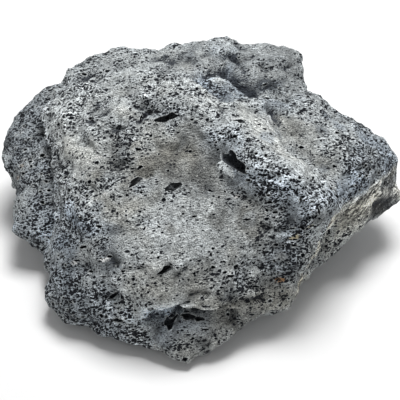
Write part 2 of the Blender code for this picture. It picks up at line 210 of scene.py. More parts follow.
# %% Swells
HEART = np.array([0.0, 8.0, 48.0])          # inner point that every reach is measured from
SWELLS = [(1.1, 52.0), (1.0, 30.0), (0.75, 17.0)]  # amplitude and wavelength, millimetres
SWELL_WAVES = 40                            # plane waves summed in each swell
SWELL_BAND = (0.75, 1.35)                   # their wavelengths are spread over this much of the one asked for
SWELL_SEED = 7
CREST_CALM = 0.75                           # share of the swells that is left out along the back crest
CREST_FROM = (85.0, 55.0)                   # y and z where that begins
CREST_FADE = 22.0                           # and how far it takes


def wave_field(points, wavelength, seed):
    """Smooth noise of unit size: cosines of one band of wavelengths, in random directions."""
    rng = np.random.default_rng(seed)
    direction = rng.normal(size=(SWELL_WAVES, 3))
    direction /= np.linalg.norm(direction, axis=1)[:, None]
    number = 2 * math.pi / wavelength / rng.uniform(*SWELL_BAND, SWELL_WAVES)
    phase = rng.uniform(0, 2 * math.pi, SWELL_WAVES)
    return np.cos(points @ (direction * number[:, None]).T + phase).sum(1) * math.sqrt(2 / SWELL_WAVES)


def swell(points):
    """The uneven part of the reach at points near the surface."""
    waves = sum(size * wave_field(points, wavelength, SWELL_SEED + step)
                for step, (size, wavelength) in enumerate(SWELLS))
    _, y, z = points.T
    far_back = np.clip((y - CREST_FROM[0]) / CREST_FADE, 0, 1)
    high_up = np.clip((z - CREST_FROM[1]) / CREST_FADE, 0, 1)
    return waves * (1 - CREST_CALM * far_back * high_up)


print("swell at the landmarks, mm:", swell(landmarks).std().round(2))

# %% The reach function
ROUNDING = 0.05                             # on the unit sphere, keeps the form free of spikes
SMOOTHING = 0.001                           # lets close landmarks disagree a little
REACH_UNIT = 100.0                          # the fit works on this length over the reach
BLOCK = 20000                               # directions worked out at a time, to save memory
TINY = 1e-6                                 # keeps a division from meeting zero


def spread(directions, others):
    """Distances between unit directions, root of two less twice their dot product, rounded off at zero."""
    return np.sqrt(np.maximum(2 - 2 * directions @ others.T, 0) + ROUNDING ** 2)


def fit_reach(points):
    """Weights of the reach function that passes through the landmarks.

    The reciprocal of the reach is a weighted sum of spreads from each landmark's direction,
    plus a constant and a linear term in the direction.  A plane's reciprocal reach is linear,
    so flat faces between landmarks stay flat.
    """
    arm = points - HEART
    reach = np.linalg.norm(arm, axis=1)
    direction = arm / reach[:, None]
    count = len(points)
    trend = np.column_stack([np.ones(count), direction])
    system = np.zeros((count + 4, count + 4))
    system[:count, :count] = SMOOTHING * np.eye(count) - spread(direction, direction)
    system[:count, count:] = trend
    system[count:, :count] = trend.T
    target = np.append(REACH_UNIT / (reach - swell(points)), np.zeros(4))
    return direction, np.linalg.solve(system, target)


def smooth_reach(directions, fit):
    """The reach before it is carved and rested on the floor."""
    centres, weights = fit
    count = len(centres)
    shares = weights[count] + directions @ weights[count + 1:]
    for block in range(0, len(directions), BLOCK):
        part = slice(block, block + BLOCK)
        shares[part] -= spread(directions[part], centres) @ weights[:count]
    reach = REACH_UNIT / shares
    return reach + swell(HEART + directions * reach[:, None])


fit = fit_reach(landmarks)
arm = landmarks - HEART
arm_length = np.linalg.norm(arm, axis=1)
misfit = smooth_reach(arm / arm_length[:, None], fit) - arm_length
print("the skin misses its landmarks by", abs(misfit).mean().round(2), "mm on average")

# %% [markdown]
# ## Steps, troughs and ledges
#
# A fit through points is soft everywhere, but lava breaks in steps.  Each carve is a bell
# shaped trench along a line of sights, narrow on one side and wide on the other, so it reads
# as a step with a shadow under it.

# %% Carves
SIGHT_FROM = 130.0                          # height above the whole rock, where a sight line is entered
SIGHT_STEPS = 1500                          # steps of about 0.1 mm from there to the floor
CARVES = {                                  # sights, steep and gentle width, depth, side of the gentle one
    "groove beside the shoulder": ([(47, 97), (37, 108), (33, 118), (36, 131), (41, 148), (44, 168),
                                    (45, 188), (45, 208), (45, 228), (43, 243)], 4.0, 12.0, 4.5, (-1, 0)),
    "trough behind the lip": ([(78, 76), (95, 73), (115, 68), (135, 65), (152, 65), (166, 66), (180, 69),
                               (194, 74), (204, 84), (214, 94), (226, 100)], 3.0, 9.0, 6.0, (1, -4)),
    "foot of the peaks": ([(200, 70), (215, 68), (232, 68), (245, 74)], 3.0, 8.0, 3.5, (0, 1)),
    "recess under the plateau": ([(104, 133), (125, 133), (148, 129), (170, 127)], 3.0, 13.0, 5.0, (0, 1)),
    "step below the recess": ([(100, 153), (115, 165), (130, 171), (146, 175)], 2.5, 9.0, 3.5, (1, -4)),
    "top of the scoop": ([(150, 138), (170, 136), (192, 136), (212, 142)], 4.0, 12.0, 3.5, (0, 1)),
    "small step": ([(75, 137), (88, 145)], 2.0, 5.0, 2.5, (1, 3)),
    "crevice over the ledge": ([(152, 322), (165, 318), (178, 315), (195, 318), (212, 320), (235, 318)],
                               2.5, 7.0, 7.0, (0, 1)),
    "step on the lower left": ([(100, 300), (115, 296), (128, 300)], 2.5, 6.0, 2.5, (0, 1)),
}


def sighted_surface(column, row, fit):
    """The first point of the smooth form that a sight line meets."""
    share = np.linspace(0, 1, SIGHT_STEPS)[:, None]
    start = on_sight(column, row, SIGHT_FROM)
    points = start + (on_sight(column, row, 0.0) - start) * share
    arm = points - HEART
    length = np.linalg.norm(arm, axis=1)
    inside = length < smooth_reach(arm / length[:, None], fit)
    return points[np.argmax(inside)]


def nearest_on_line(points, line):
    """For each point, its distance to a polyline and the nearest place on that line."""
    nearest = np.full(len(points), np.inf)
    foot = np.zeros_like(points)
    for start, end in zip(line[:-1], line[1:]):
        along = end - start
        share = np.clip((points - start) @ along / (along @ along), 0, 1)
        place = start + share[:, None] * along
        distance = np.linalg.norm(points - place, axis=1)
        closer = distance < nearest
        nearest[closer] = distance[closer]
        foot[closer] = place[closer]
    return nearest, foot


def carve_depth(points, line, steep, gentle, depth, toward):
    """Depth times a bell of the distance over a width, which grows from steep to gentle on one side."""
    nearest, foot = nearest_on_line(points, line)
    side = (points - foot) @ toward / np.maximum(nearest, TINY)
    width = steep + (gentle - steep) * np.clip(side, 0, 1)
    return depth * np.exp(-(nearest / width) ** 2)


carve_lines = {name: np.array([sighted_surface(*sight, fit) for sight in carve[0]])
               for name, carve in CARVES.items()}


def carved(points, carves, lines):
    """What all the carves of a set take off the reach at points."""
    taken = 0.0
    for name, (_, steep, gentle, depth, (columns, rows)) in carves.items():
        toward = ACROSS * columns - UPWARD * rows
        toward /= np.linalg.norm(toward)
        taken = taken + carve_depth(points, lines[name], steep, gentle, depth, toward)
    return taken


def coarse_reach(directions):
    """The reach of the solid inside: smooth form, less the carves, cut off flat at the floor."""
    reach = smooth_reach(directions, fit)
    reach = reach - carved(HEART + directions * reach[:, None], CARVES, carve_lines)
    downward = np.maximum(-directions[:, 2], TINY)
    return np.minimum(reach, HEART[2] / downward)


print(len(CARVES), "carves")

# %% [markdown]
# ## Directions on a cube
#
# Directions could come from latitude and longitude, but those crowd at two poles.  Six
# square grids, one on each face of a cube, stay nearly even when they are blown up to a
# sphere.  Each direction is a function of two parameters, a and b, on one of six faces.

# %% A blown-up cube
SOLID_CELLS = 27                            # grid of the solid inside
SKIN_CELLS = 102                            # grid of the visible skin

# outward axis, then the axes that a and b run along, for each cube face
CUBE_FACES = np.array([
    [[0, 0, 1], [1, 0, 0], [0, 1, 0]], [[0, -1, 0], [1, 0, 0], [0, 0, 1]],
    [[1, 0, 0], [0, 1, 0], [0, 0, 1]], [[-1, 0, 0], [0, -1, 0], [0, 0, 1]],
    [[0, 1, 0], [-1, 0, 0], [0, 0, 1]], [[0, 0, -1], [1, 0, 0], [0, -1, 0]],
], float)


def cube_grid(cells):
    """Direction = outward + tan(45 degrees * a) first axis + tan(45 degrees * b) second axis."""
    steps = np.tan(np.linspace(-1, 1, cells + 1) * math.pi / 4)
    a, b = np.meshgrid(steps, steps, indexing="ij")
    outward, first, second = (CUBE_FACES[:, axis, None, None] for axis in range(3))
    return outward + a[None, :, :, None] * first + b[None, :, :, None] * second


def welded(grid):
    """Unit directions of six square grids with their shared corners merged, and quads that wind outward."""
    cells = grid.shape[1] - 1
    grid = grid.reshape(-1, 3) / np.linalg.norm(grid.reshape(-1, 3), axis=1)[:, None]
    corner = (np.arange(cells)[:, None] * (cells + 1) + np.arange(cells)).ravel()
    quad = np.stack([corner, corner + cells + 1, corner + cells + 2, corner + 1], -1)
    quads = (quad[None] + np.arange(6)[:, None, None] * (cells + 1) ** 2).reshape(-1, 4)
    _, first_seen, merged = np.unique(grid.round(6), axis=0, return_index=True, return_inverse=True)
    merged = merged.reshape(-1)
    return grid[first_seen], merged[quads], merged


solid_directions, solid_quads, solid_merged = welded(cube_grid(SOLID_CELLS))
solid_points = HEART + solid_directions * coarse_reach(solid_directions)[:, None]
low, high = solid_points.min(0), solid_points.max(0)
shift = np.array([(low[0] + high[0]) / 2, (low[1] + high[1]) / 2, low[2]])
print("solid from the same landmarks, mm:", (low - shift).round(1), (high - shift).round(1))

# %% [markdown]
# ## Even cells
#
# Seen from the heart, the far corners of the rock are small, so an even grid of directions
# gets stretched cells there, and fine relief would be lost.  The coarse grid is evened first:
# each corner slides toward the middle of the cells round it, and large cells pull harder.
# A fine grid is then drawn between its corners.  The hidden resting face can do with less.

# %% Even out the grid
EVEN_ROUNDS = 60
EVEN_STEP = 0.6
BENEATH = 0.35                              # how hard a cell on the floor pulls
FLOOR_CELL = 1.0                            # a cell lower than this is on the floor


def summed(values, quads, count):
    """The sum at each corner of a value that each quad gives to its four corners."""
    total = np.zeros((count, values.shape[1]))
    np.add.at(total, quads, values[:, None])
    return total


def evened(directions, quads):
    """Directions slid along the solid until its cells are near one size."""
    for _ in range(EVEN_ROUNDS):
        points = HEART + directions * coarse_reach(directions)[:, None]
        corners = points[quads]
        middle = corners.mean(1)
        area = np.linalg.norm(np.cross(corners[:, 2] - corners[:, 0], corners[:, 3] - corners[:, 1]), axis=1)
        pull = (area * np.where(middle[:, 2] < FLOOR_CELL, BENEATH, 1))[:, None]
        target = summed(pull * middle, quads, len(points)) / summed(pull, quads, len(points))
        arm = points + (target - points) * EVEN_STEP - HEART
        directions = arm / np.linalg.norm(arm, axis=1)[:, None]
    return directions


def drawn_between(grid, cells):
    """Six finer grids, each corner a mix of the four coarse ones round it by its share of the cell."""
    place = np.linspace(0, grid.shape[1] - 1, cells + 1)
    low = np.minimum(place.astype(int), grid.shape[1] - 2)
    share = (place - low)[:, None]
    rows = grid[:, low] * (1 - share[..., None]) + grid[:, low + 1] * share[..., None]
    return rows[:, :, low] * (1 - share) + rows[:, :, low + 1] * share


even_directions = evened(solid_directions, solid_quads)
even_grid = even_directions[solid_merged].reshape(6, SOLID_CELLS + 1, SOLID_CELLS + 1, 3)
skin_directions, skin_quads, _ = welded(drawn_between(even_grid, SKIN_CELLS))
print(len(skin_directions), "corners in the skin")

# %% [markdown]
# ## Skin and froth
#
# Parts of the rock are froth, bubble beside bubble with thin bluish walls, and parts are a
# smooth brownish skin where the lava was sheared shut as it flowed.  One noise over the
# whole rock would make it the same everywhere, and a picture wrapped round it would not suit
# its sides, so the differences are painted on as strokes.  A stroke is a line of
# sights with a half width in millimetres, and it fades out as a bell.  Skins close the froth
# and dense patches open it further.

# %% Skins and dense froth
PLAIN_POROSITY = 0.70                       # away from every stroke
LEFT_LOBE = [(26, 112), (14, 135), (12, 190), (28, 232)]
SKINS = {                                   # sights, half width, how closed, how brown
    "scoop": ([(160, 146), (190, 148), (206, 162), (212, 185)], 10.0, 1.0, 0.6),
    "inside the scoop": ([(165, 168), (190, 172), (200, 190)], 11.0, 0.9, 0.3),
    "front band": ([(128, 235), (160, 240), (200, 234), (238, 226)], 11.0, 0.9, 0.1),
    "above the front band": ([(125, 205), (165, 212), (205, 208)], 12.0, 0.7, 0.1),
    "band beside the ridge": ([(243, 106), (262, 128), (280, 150), (302, 172)], 7.5, 0.85, 0.3),
    "trough": ([(272, 106), (300, 140), (325, 163), (345, 180)], 5.0, 0.6, 0.6),
    "lip": ([(92, 82), (120, 75), (150, 73), (180, 77), (202, 88)], 5.0, 0.25, 0.2),
    "left patch": ([(72, 148), (92, 160)], 7.0, 0.7, 0.3),
    "back": ([(248, 48), (288, 52), (288, 78), (262, 80)], 12.0, 0.55, 0.3),
    "highest peak": ([(208, 44), (234, 44)], 7.0, 0.45, 0.2),
    "left of the peaks": ([(100, 58), (140, 56), (170, 52)], 7.0, 0.35, 0.2),
    "right crest": ([(312, 98), (330, 118), (352, 132)], 8.0, 0.35, 0.1),
    "knob on the plateau": ([(112, 106), (122, 112)], 5.0, 0.6, 0.1),
    "strip": ([(380, 188), (345, 226), (325, 256), (308, 277)], 11.0, 0.2, 1.0),
    "low right foot": ([(215, 335), (245, 315), (285, 300)], 10.0, 0.5, 0.3),
    "lower middle": ([(150, 284), (205, 286)], 10.0, 0.42, 0.2),
    "hollow under the crevice": ([(160, 330), (185, 328), (205, 332)], 8.0, 0.6, 0.2),
    "point of the foot": ([(165, 350), (190, 352), (215, 342)], 8.0, 0.35, 0.5),
}
DENSE = {                                   # sights, half width, how far toward full froth
    "left lobe": (LEFT_LOBE, 15.0, 0.40),
    "left of the front": ([(60, 205), (62, 250), (58, 285)], 9.0, 0.7),
    "lower left": ([(60, 290), (100, 325), (125, 335)], 9.0, 0.8),
    "bluish patch on the left": ([(72, 222), (88, 228)], 5.0, 0.9),
    "around the cavity": ([(226, 142), (246, 160)], 6.0, 0.8),
    "before the ridge": ([(240, 182), (262, 196), (285, 200), (300, 218)], 7.0, 1.0),
    "low right": ([(266, 246), (290, 240), (296, 262), (268, 272)], 9.0, 1.0),
    "right lobe": ([(342, 160), (362, 162), (385, 158)], 8.0, 0.9),
    "end of the right lobe": ([(345, 182), (362, 188)], 5.0, 0.8),
    "right side of the ridge": ([(285, 175), (310, 195), (330, 204)], 7.0, 0.6),
    "ledge": ([(238, 288), (262, 290)], 5.0, 0.9),
    "under the ledge": ([(222, 300), (234, 300), (256, 299)], 4.0, 0.8),
    "end of the plateau": ([(142, 112), (152, 106), (150, 124)], 5.0, 0.6),
    "recess": ([(110, 140), (136, 148), (128, 160)], 6.0, 0.5),
    "peaks": ([(205, 54), (224, 68), (212, 74)], 5.0, 0.6),
    "blue face": ([(212, 82), (238, 90)], 6.0, 0.8),
}
print(len(SKINS), "skins and", len(DENSE), "patches of dense froth")

# %% [markdown]
# ## Pale, dark, yellow and blue
#
# Old lava is stained yellow brown where water stood, and blue grey where it broke last.
# Tones are strokes for the places that have a name, with both how much paler and how much
# yellower they are; how much paler is partly the rock's own tone and partly painted light
# and shade, paler on rims that stick out and darker in recesses, hollows, undersides and on
# slopes turned from the lamp.  Shades are smaller strokes of the same mix of tone and painted
# light and shade, and tints are smaller strokes of yellower or bluer colour, because a real
# surface is uneven everywhere and not in any pattern.  Roughs make the fine relief stronger
# or weaker.

# %% Tones
# how much paler is partly the rock's own tone and partly painted light and shade: painted highlights on the
# rims of the shoulder and the lip, painted shade in the recess, on the scoop's floor, under the right lobe,
# on the left lobe and on the slope before the ridge
TONES = {                                   # sights, half width, how much paler, how much yellower
    "shoulder of the plateau": ([(60, 98), (56, 125), (60, 150)], 7.0, 0.28, 0.2),
    "rim of the shoulder": ([(49, 150), (50, 175), (52, 205), (50, 232)], 2.2, 0.45, 0.1),
    "plateau": ([(70, 112), (105, 92), (150, 90)], 12.0, 0.05, 0.1),
    "knob": ([(116, 113)], 4.0, 0.15, 0.0),
    "patch by the shoulder": ([(70, 150), (88, 158)], 8.0, 0.22, 0.3),
    "lip": ([(150, 72), (170, 73), (186, 79), (202, 90), (212, 100)], 2.0, 0.16, 0.0),
    "ridge": ([(200, 92), (235, 114), (262, 135), (290, 160), (335, 190)], 8.0, 0.10, 0.1),
    "middle of the front": ([(150, 225), (172, 240), (195, 240)], 12.0, 0.22, -0.1),
    "lower right": ([(236, 308), (285, 298)], 9.0, -0.08, 0.8),
    "lower middle": ([(145, 284), (200, 288)], 9.0, -0.16, 0.5),
    "brown patches": ([(104, 205), (122, 212), (135, 206)], 6.0, -0.05, 0.6),
    "step": ([(108, 164), (122, 168), (140, 172)], 4.0, -0.06, 0.4),
    "floor of the scoop": ([(158, 148), (188, 150), (208, 164)], 11.0, -0.44, 0.35),
    "inside the scoop": ([(160, 180), (195, 184), (210, 195)], 12.0, -0.26, 0.0),
    "beside the cavity": ([(206, 146), (216, 165), (204, 186)], 8.0, 0.0, -0.5),
    "slope before the ridge": ([(236, 208), (250, 222), (262, 240)], 8.0, -0.32, 0.0),
    "pale of the slope": ([(284, 188), (298, 212), (290, 234)], 6.0, 0.40, -0.4),
    "below the cavity": ([(242, 176), (258, 180), (262, 190)], 5.0, 0.30, -0.4),
    "above the cavity": ([(212, 136), (232, 140)], 6.0, 0.30, -0.4),
    "low front": ([(232, 262), (258, 258)], 5.0, 0.30, 0.0),
    "middle of the scoop's foot": ([(208, 212)], 5.0, 0.25, 0.0),
    "low right": ([(294, 254), (288, 270)], 6.0, -0.30, -0.4),
    "left lobe": (LEFT_LOBE, 15.0, -0.22, -0.4),
    "left of the front": ([(49, 185), (52, 212), (44, 234)], 6.0, 0.30, -0.2),
    "lower left": ([(52, 245), (60, 285), (110, 325)], 13.0, -0.08, -0.5),
    "above the lower left": ([(84, 292), (112, 306), (126, 302)], 6.0, 0.35, 0.0),
    "bluish patch on the left": ([(72, 222), (90, 229)], 4.5, -0.22, -1.0),
    "near the lower left": ([(105, 246), (112, 260)], 5.0, -0.22, -0.4),
    "recess": ([(102, 136), (112, 148), (102, 158)], 7.0, -0.34, 0.0),
    "peaks": ([(216, 62), (238, 74), (256, 88)], 7.0, -0.30, -0.3),
    "behind the peaks": ([(232, 58), (262, 64), (288, 58)], 8.0, -0.20, 0.0),
    "back": ([(215, 46), (250, 50), (288, 54), (286, 80)], 12.0, -0.18, -0.2),
    "right of the ridge": ([(280, 112), (296, 130)], 6.0, -0.25, 0.2),
    "right of the cavity": ([(275, 178), (310, 196), (335, 205)], 9.0, 0.0, -0.4),
    "blue face": ([(214, 84), (238, 92)], 7.0, -0.14, -0.6),
    "blue behind the lip": ([(196, 74), (206, 80)], 4.0, -0.10, -0.8),
    "right lobe": ([(338, 158), (362, 164), (386, 172)], 9.0, -0.20, -0.4),
    "end of the right lobe": ([(345, 181), (362, 188)], 5.0, -0.15, -0.8),
    "far right": ([(372, 142), (392, 156)], 9.0, 0.0, -0.8),
    "under the right lobe": ([(392, 202), (376, 212)], 6.0, -0.70, -0.4),
    "foot": ([(165, 345), (190, 352), (216, 338)], 8.0, -0.12, 0.3),
    "under the crevice": ([(165, 334), (182, 326), (200, 325)], 7.0, -0.22, -0.9),
    "under the small slot": ([(148, 316), (162, 312)], 4.5, 0.50, -0.9),
}
print(len(TONES), "tones")

# %% Shades, tints and roughs
# painted light and shade, with some of the rock's own uneven tone: each stroke makes a place paler or darker,
# and many lighten a shadow or darken where shade falls
TONE_LIGHT_AND_SHADE = [                                  # sights, half width, how much paler
    ([(62, 185), (58, 200)], 5.0, 0.45), ([(52, 214), (50, 232)], 5.0, 0.60), ([(84, 186)], 5.0, 0.40),
    ([(76, 136), (88, 136)], 4.0, 0.40), ([(112, 124)], 3.0, 0.30), ([(122, 162), (134, 163)], 3.0, 0.35),
    ([(126, 260), (134, 258)], 4.0, 0.45), ([(104, 296), (108, 309)], 4.0, 0.40),
    ([(150, 314), (176, 311)], 5.0, 0.95), ([(208, 313)], 4.0, 0.30), ([(205, 74), (222, 75)], 2.5, 0.40),
    ([(222, 47)], 4.0, 0.35), ([(256, 174)], 4.0, 0.35), ([(272, 184), (288, 186)], 4.0, 0.30),
    ([(308, 195)], 4.0, 0.20), ([(315, 232), (340, 236)], 5.0, 0.50), ([(352, 165)], 4.0, 0.30),
    ([(380, 192)], 4.0, 0.20), ([(236, 140)], 4.0, 0.20), ([(155, 90), (185, 90)], 5.0, 0.15),
    ([(30, 134)], 5.0, -0.35), ([(5, 145)], 4.0, -0.35), ([(14, 180)], 4.0, -0.30),
    ([(36, 176), (36, 192)], 4.0, -0.30), ([(92, 246), (110, 254)], 4.0, -0.28),
    ([(85, 270)], 4.0, -0.30), ([(67, 302)], 4.0, -0.35), ([(173, 282)], 4.0, -0.25),
    ([(164, 70)], 3.0, -0.20), ([(184, 71)], 4.0, -0.35), ([(225, 154)], 4.0, -0.50),
    ([(68, 308)], 4.0, -0.30), ([(186, 186)], 5.0, -0.20), ([(246, 196)], 4.0, 0.30),
    ([(246, 212), (264, 236)], 5.0, -0.30), ([(270, 199)], 3.0, -0.30), ([(289, 215)], 4.0, -0.45),
    ([(284, 260)], 4.0, -0.30), ([(270, 272)], 3.0, -0.20), ([(210, 240)], 6.0, -0.15),
    ([(290, 122), (302, 134)], 5.0, -0.20), ([(360, 216), (380, 212)], 4.0, -0.45),
    ([(188, 302), (222, 301)], 6.0, -0.20), ([(85, 86), (100, 98)], 6.0, 0.28),
    ([(42, 112), (47, 150)], 3.0, 0.30), ([(222, 142)], 5.0, 0.35), ([(263, 172)], 5.0, 0.25),
    ([(217, 156), (222, 178)], 2.5, -0.35), ([(285, 187)], 4.0, 0.30),
    ([(206, 73), (230, 75), (238, 84)], 3.0, 0.40), ([(262, 82), (285, 85)], 4.0, -0.15),
    ([(60, 218), (85, 220), (110, 232)], 4.0, 0.25), ([(30, 236), (44, 242)], 4.0, 0.40),
    ([(155, 148), (200, 142)], 5.0, -0.15), ([(240, 187)], 4.0, -0.40),
    ([(122, 244), (132, 242)], 4.0, -0.30), ([(228, 46), (232, 56)], 4.0, 0.35),
    ([(105, 65)], 6.0, -0.20), ([(43, 115), (48, 150)], 3.0, 0.25), ([(72, 112)], 4.0, 0.25),
    ([(128, 132), (138, 138)], 4.0, 0.35), ([(133, 112)], 3.0, 0.30), ([(118, 92)], 4.0, -0.30),
    ([(75, 140)], 4.0, -0.25), ([(108, 148)], 4.0, -0.30), ([(84, 172)], 5.0, -0.25),
    ([(250, 192)], 4.0, 0.25), ([(264, 171), (272, 176)], 3.5, 0.60),
    ([(290, 190), (302, 190)], 4.0, 0.45), ([(326, 205)], 4.0, 0.35), ([(360, 168)], 4.0, 0.35),
    ([(295, 213)], 4.0, -0.50), ([(373, 185)], 4.0, -0.35), ([(160, 333), (173, 325)], 3.5, -0.60),
    ([(155, 317), (176, 312)], 3.0, 0.45), ([(243, 308), (270, 302)], 5.0, -0.22),
    ([(222, 336)], 4.0, -0.30), ([(137, 336)], 4.0, 0.45), ([(287, 260)], 4.0, 0.35),
    ([(232, 290)], 4.0, 0.30), ([(190, 70)], 4.0, -0.30), ([(208, 73), (232, 78)], 3.0, 0.35),
    ([(60, 254), (85, 254)], 4.0, -0.18), ([(195, 245), (240, 243)], 5.0, -0.16),
    ([(120, 310), (135, 318)], 5.0, -0.30), ([(282, 118), (292, 136)], 3.0, 0.35),
    ([(38, 233)], 5.0, 0.40), ([(40, 120), (48, 140)], 4.0, 0.35), ([(68, 118), (80, 118)], 4.0, 0.15),
    ([(158, 131), (176, 133)], 4.0, 0.25), ([(212, 112)], 4.0, 0.25), ([(210, 212)], 4.0, 0.25),
    ([(240, 262), (256, 262)], 4.0, 0.25), ([(110, 262)], 4.0, -0.30), ([(372, 200)], 4.0, 0.45),
    ([(386, 206)], 3.0, -0.50), ([(205, 283)], 4.0, -0.25), ([(195, 298)], 3.0, -0.25),
    ([(284, 285)], 4.0, -0.20), ([(262, 282)], 4.0, 0.25), ([(188, 350)], 5.0, -0.20),
    ([(396, 184)], 3.0, -0.40), ([(64, 70), (90, 62)], 4.0, -0.15), ([(200, 42)], 4.0, -0.25),
]
TINTS = [                                   # sights, half width, how much yellower
    ([(232, 160), (236, 180)], 7.0, -0.60), ([(135, 186)], 5.0, -0.40),
    ([(28, 180), (30, 200)], 7.0, -0.20), ([(236, 322)], 6.0, -0.50),
    ([(155, 120), (172, 116)], 5.0, -0.50), ([(278, 104)], 7.0, -0.90),
    ([(250, 208), (256, 235)], 6.0, 0.60), ([(70, 205)], 5.0, 0.40), ([(128, 315)], 6.0, 0.40),
    ([(235, 288)], 5.0, -0.80), ([(180, 298)], 5.0, -0.50), ([(325, 240), (340, 232)], 7.0, 0.50),
    ([(348, 204), (372, 188)], 6.0, -0.80), ([(338, 150), (330, 165)], 6.0, 0.50),
    ([(310, 256)], 6.0, 0.40), ([(190, 316), (225, 318)], 6.0, 0.40),
    ([(260, 250), (272, 262)], 6.0, -0.30), ([(230, 70)], 4.0, -0.30),
]
ROUGHS = [                                  # sights, half width, how much rougher than elsewhere
    ([(80, 90), (120, 95), (150, 100)], 14.0, 0.40),
    ([(150, 285), (190, 300), (240, 300), (200, 335)], 16.0, -0.10),
    (LEFT_LOBE, 15.0, -0.60),
    ([(60, 230), (75, 280), (110, 310)], 20.0, -0.65), ([(190, 60), (240, 70), (280, 65)], 12.0, 0.30),
    ([(162, 150), (190, 156), (205, 180)], 12.0, -0.60),
]
print(len(TONE_LIGHT_AND_SHADE), "shades,", len(TINTS), "tints and", len(ROUGHS), "roughs")

# %% [markdown]
# ## Layers, creases and dents
#
# The strip under the right lobe and the ridge show the edges of thin sheets of lava, so each
# has a line of its own for its layers to follow.  A crease is a long narrow furrow, made as
# the carves are but only in the visible skin.  A dent is a small hollow seen by itself; a
# negative depth makes it a bump.  A noise could give dents too, but not in these places.

# %% Lines that layers follow
STRIP_EDGE = [(396, 168), (384, 178), (371, 188), (357, 198), (345, 207), (334, 219), (326, 232), (318, 248),
              (310, 263), (302, 279)]
STRIP_WIDTHS = (1.5, 26.0)                  # how fast the strip's layers fade out above and below its edge
# painted light: the strip faces away from the lamp and is painted paler, as if lit
STRIP_PAINTED_LIGHT = 0.60                           # how much paler the strip is
STRIP_WARMTH = 1.2                          # and how much yellower
RIDGE_LINE = [(225, 100), (258, 124), (284, 150), (312, 176), (340, 196)]
RIDGE_WIDTH = 8.0
print("layers along lines of", len(STRIP_EDGE), "and", len(RIDGE_LINE), "sights")

# %% Creases and dents
CREASES = {                                 # as CARVES
    "beside the shoulder": ([(52, 92), (42, 104), (34, 118), (38, 133), (43, 150), (45, 170), (46, 190),
                             (46, 210), (45, 228), (44, 242)], 1.4, 7.0, 3.0, (-1, 0)),
    "foot of the plateau": ([(104, 133), (125, 132), (148, 129), (172, 128), (195, 136)],
                            3.0, 8.0, -2.4, (0, 1)),
    "step": ([(108, 162), (122, 168), (135, 172), (146, 175)], 1.2, 3.0, 1.4, (1, -3)),
    "top of the scoop": ([(176, 136), (188, 128), (200, 135), (210, 143)], 1.6, 7.0, 1.2, (0, 1)),
    "right of the ridge": ([(270, 108), (282, 126), (296, 143), (312, 158), (330, 168)],
                           1.4, 6.0, 2.2, (1, -1)),
    "below the edge over the strip": ([(394, 174), (372, 191), (352, 207), (338, 224), (328, 240),
                                       (314, 264)], 1.2, 9.0, 2.4, (1, 1)),
    "over the crevice": ([(166, 326), (175, 318), (186, 315), (198, 319), (212, 317), (226, 311)],
                         1.4, 6.0, 2.6, (0, 1)),
    "under the small slot": ([(147, 314), (158, 314)], 1.4, 4.0, 1.6, (0, 1)),
    "ledge on the right": ([(232, 303), (250, 302), (266, 296)], 1.4, 5.0, 1.8, (0, 1)),
}
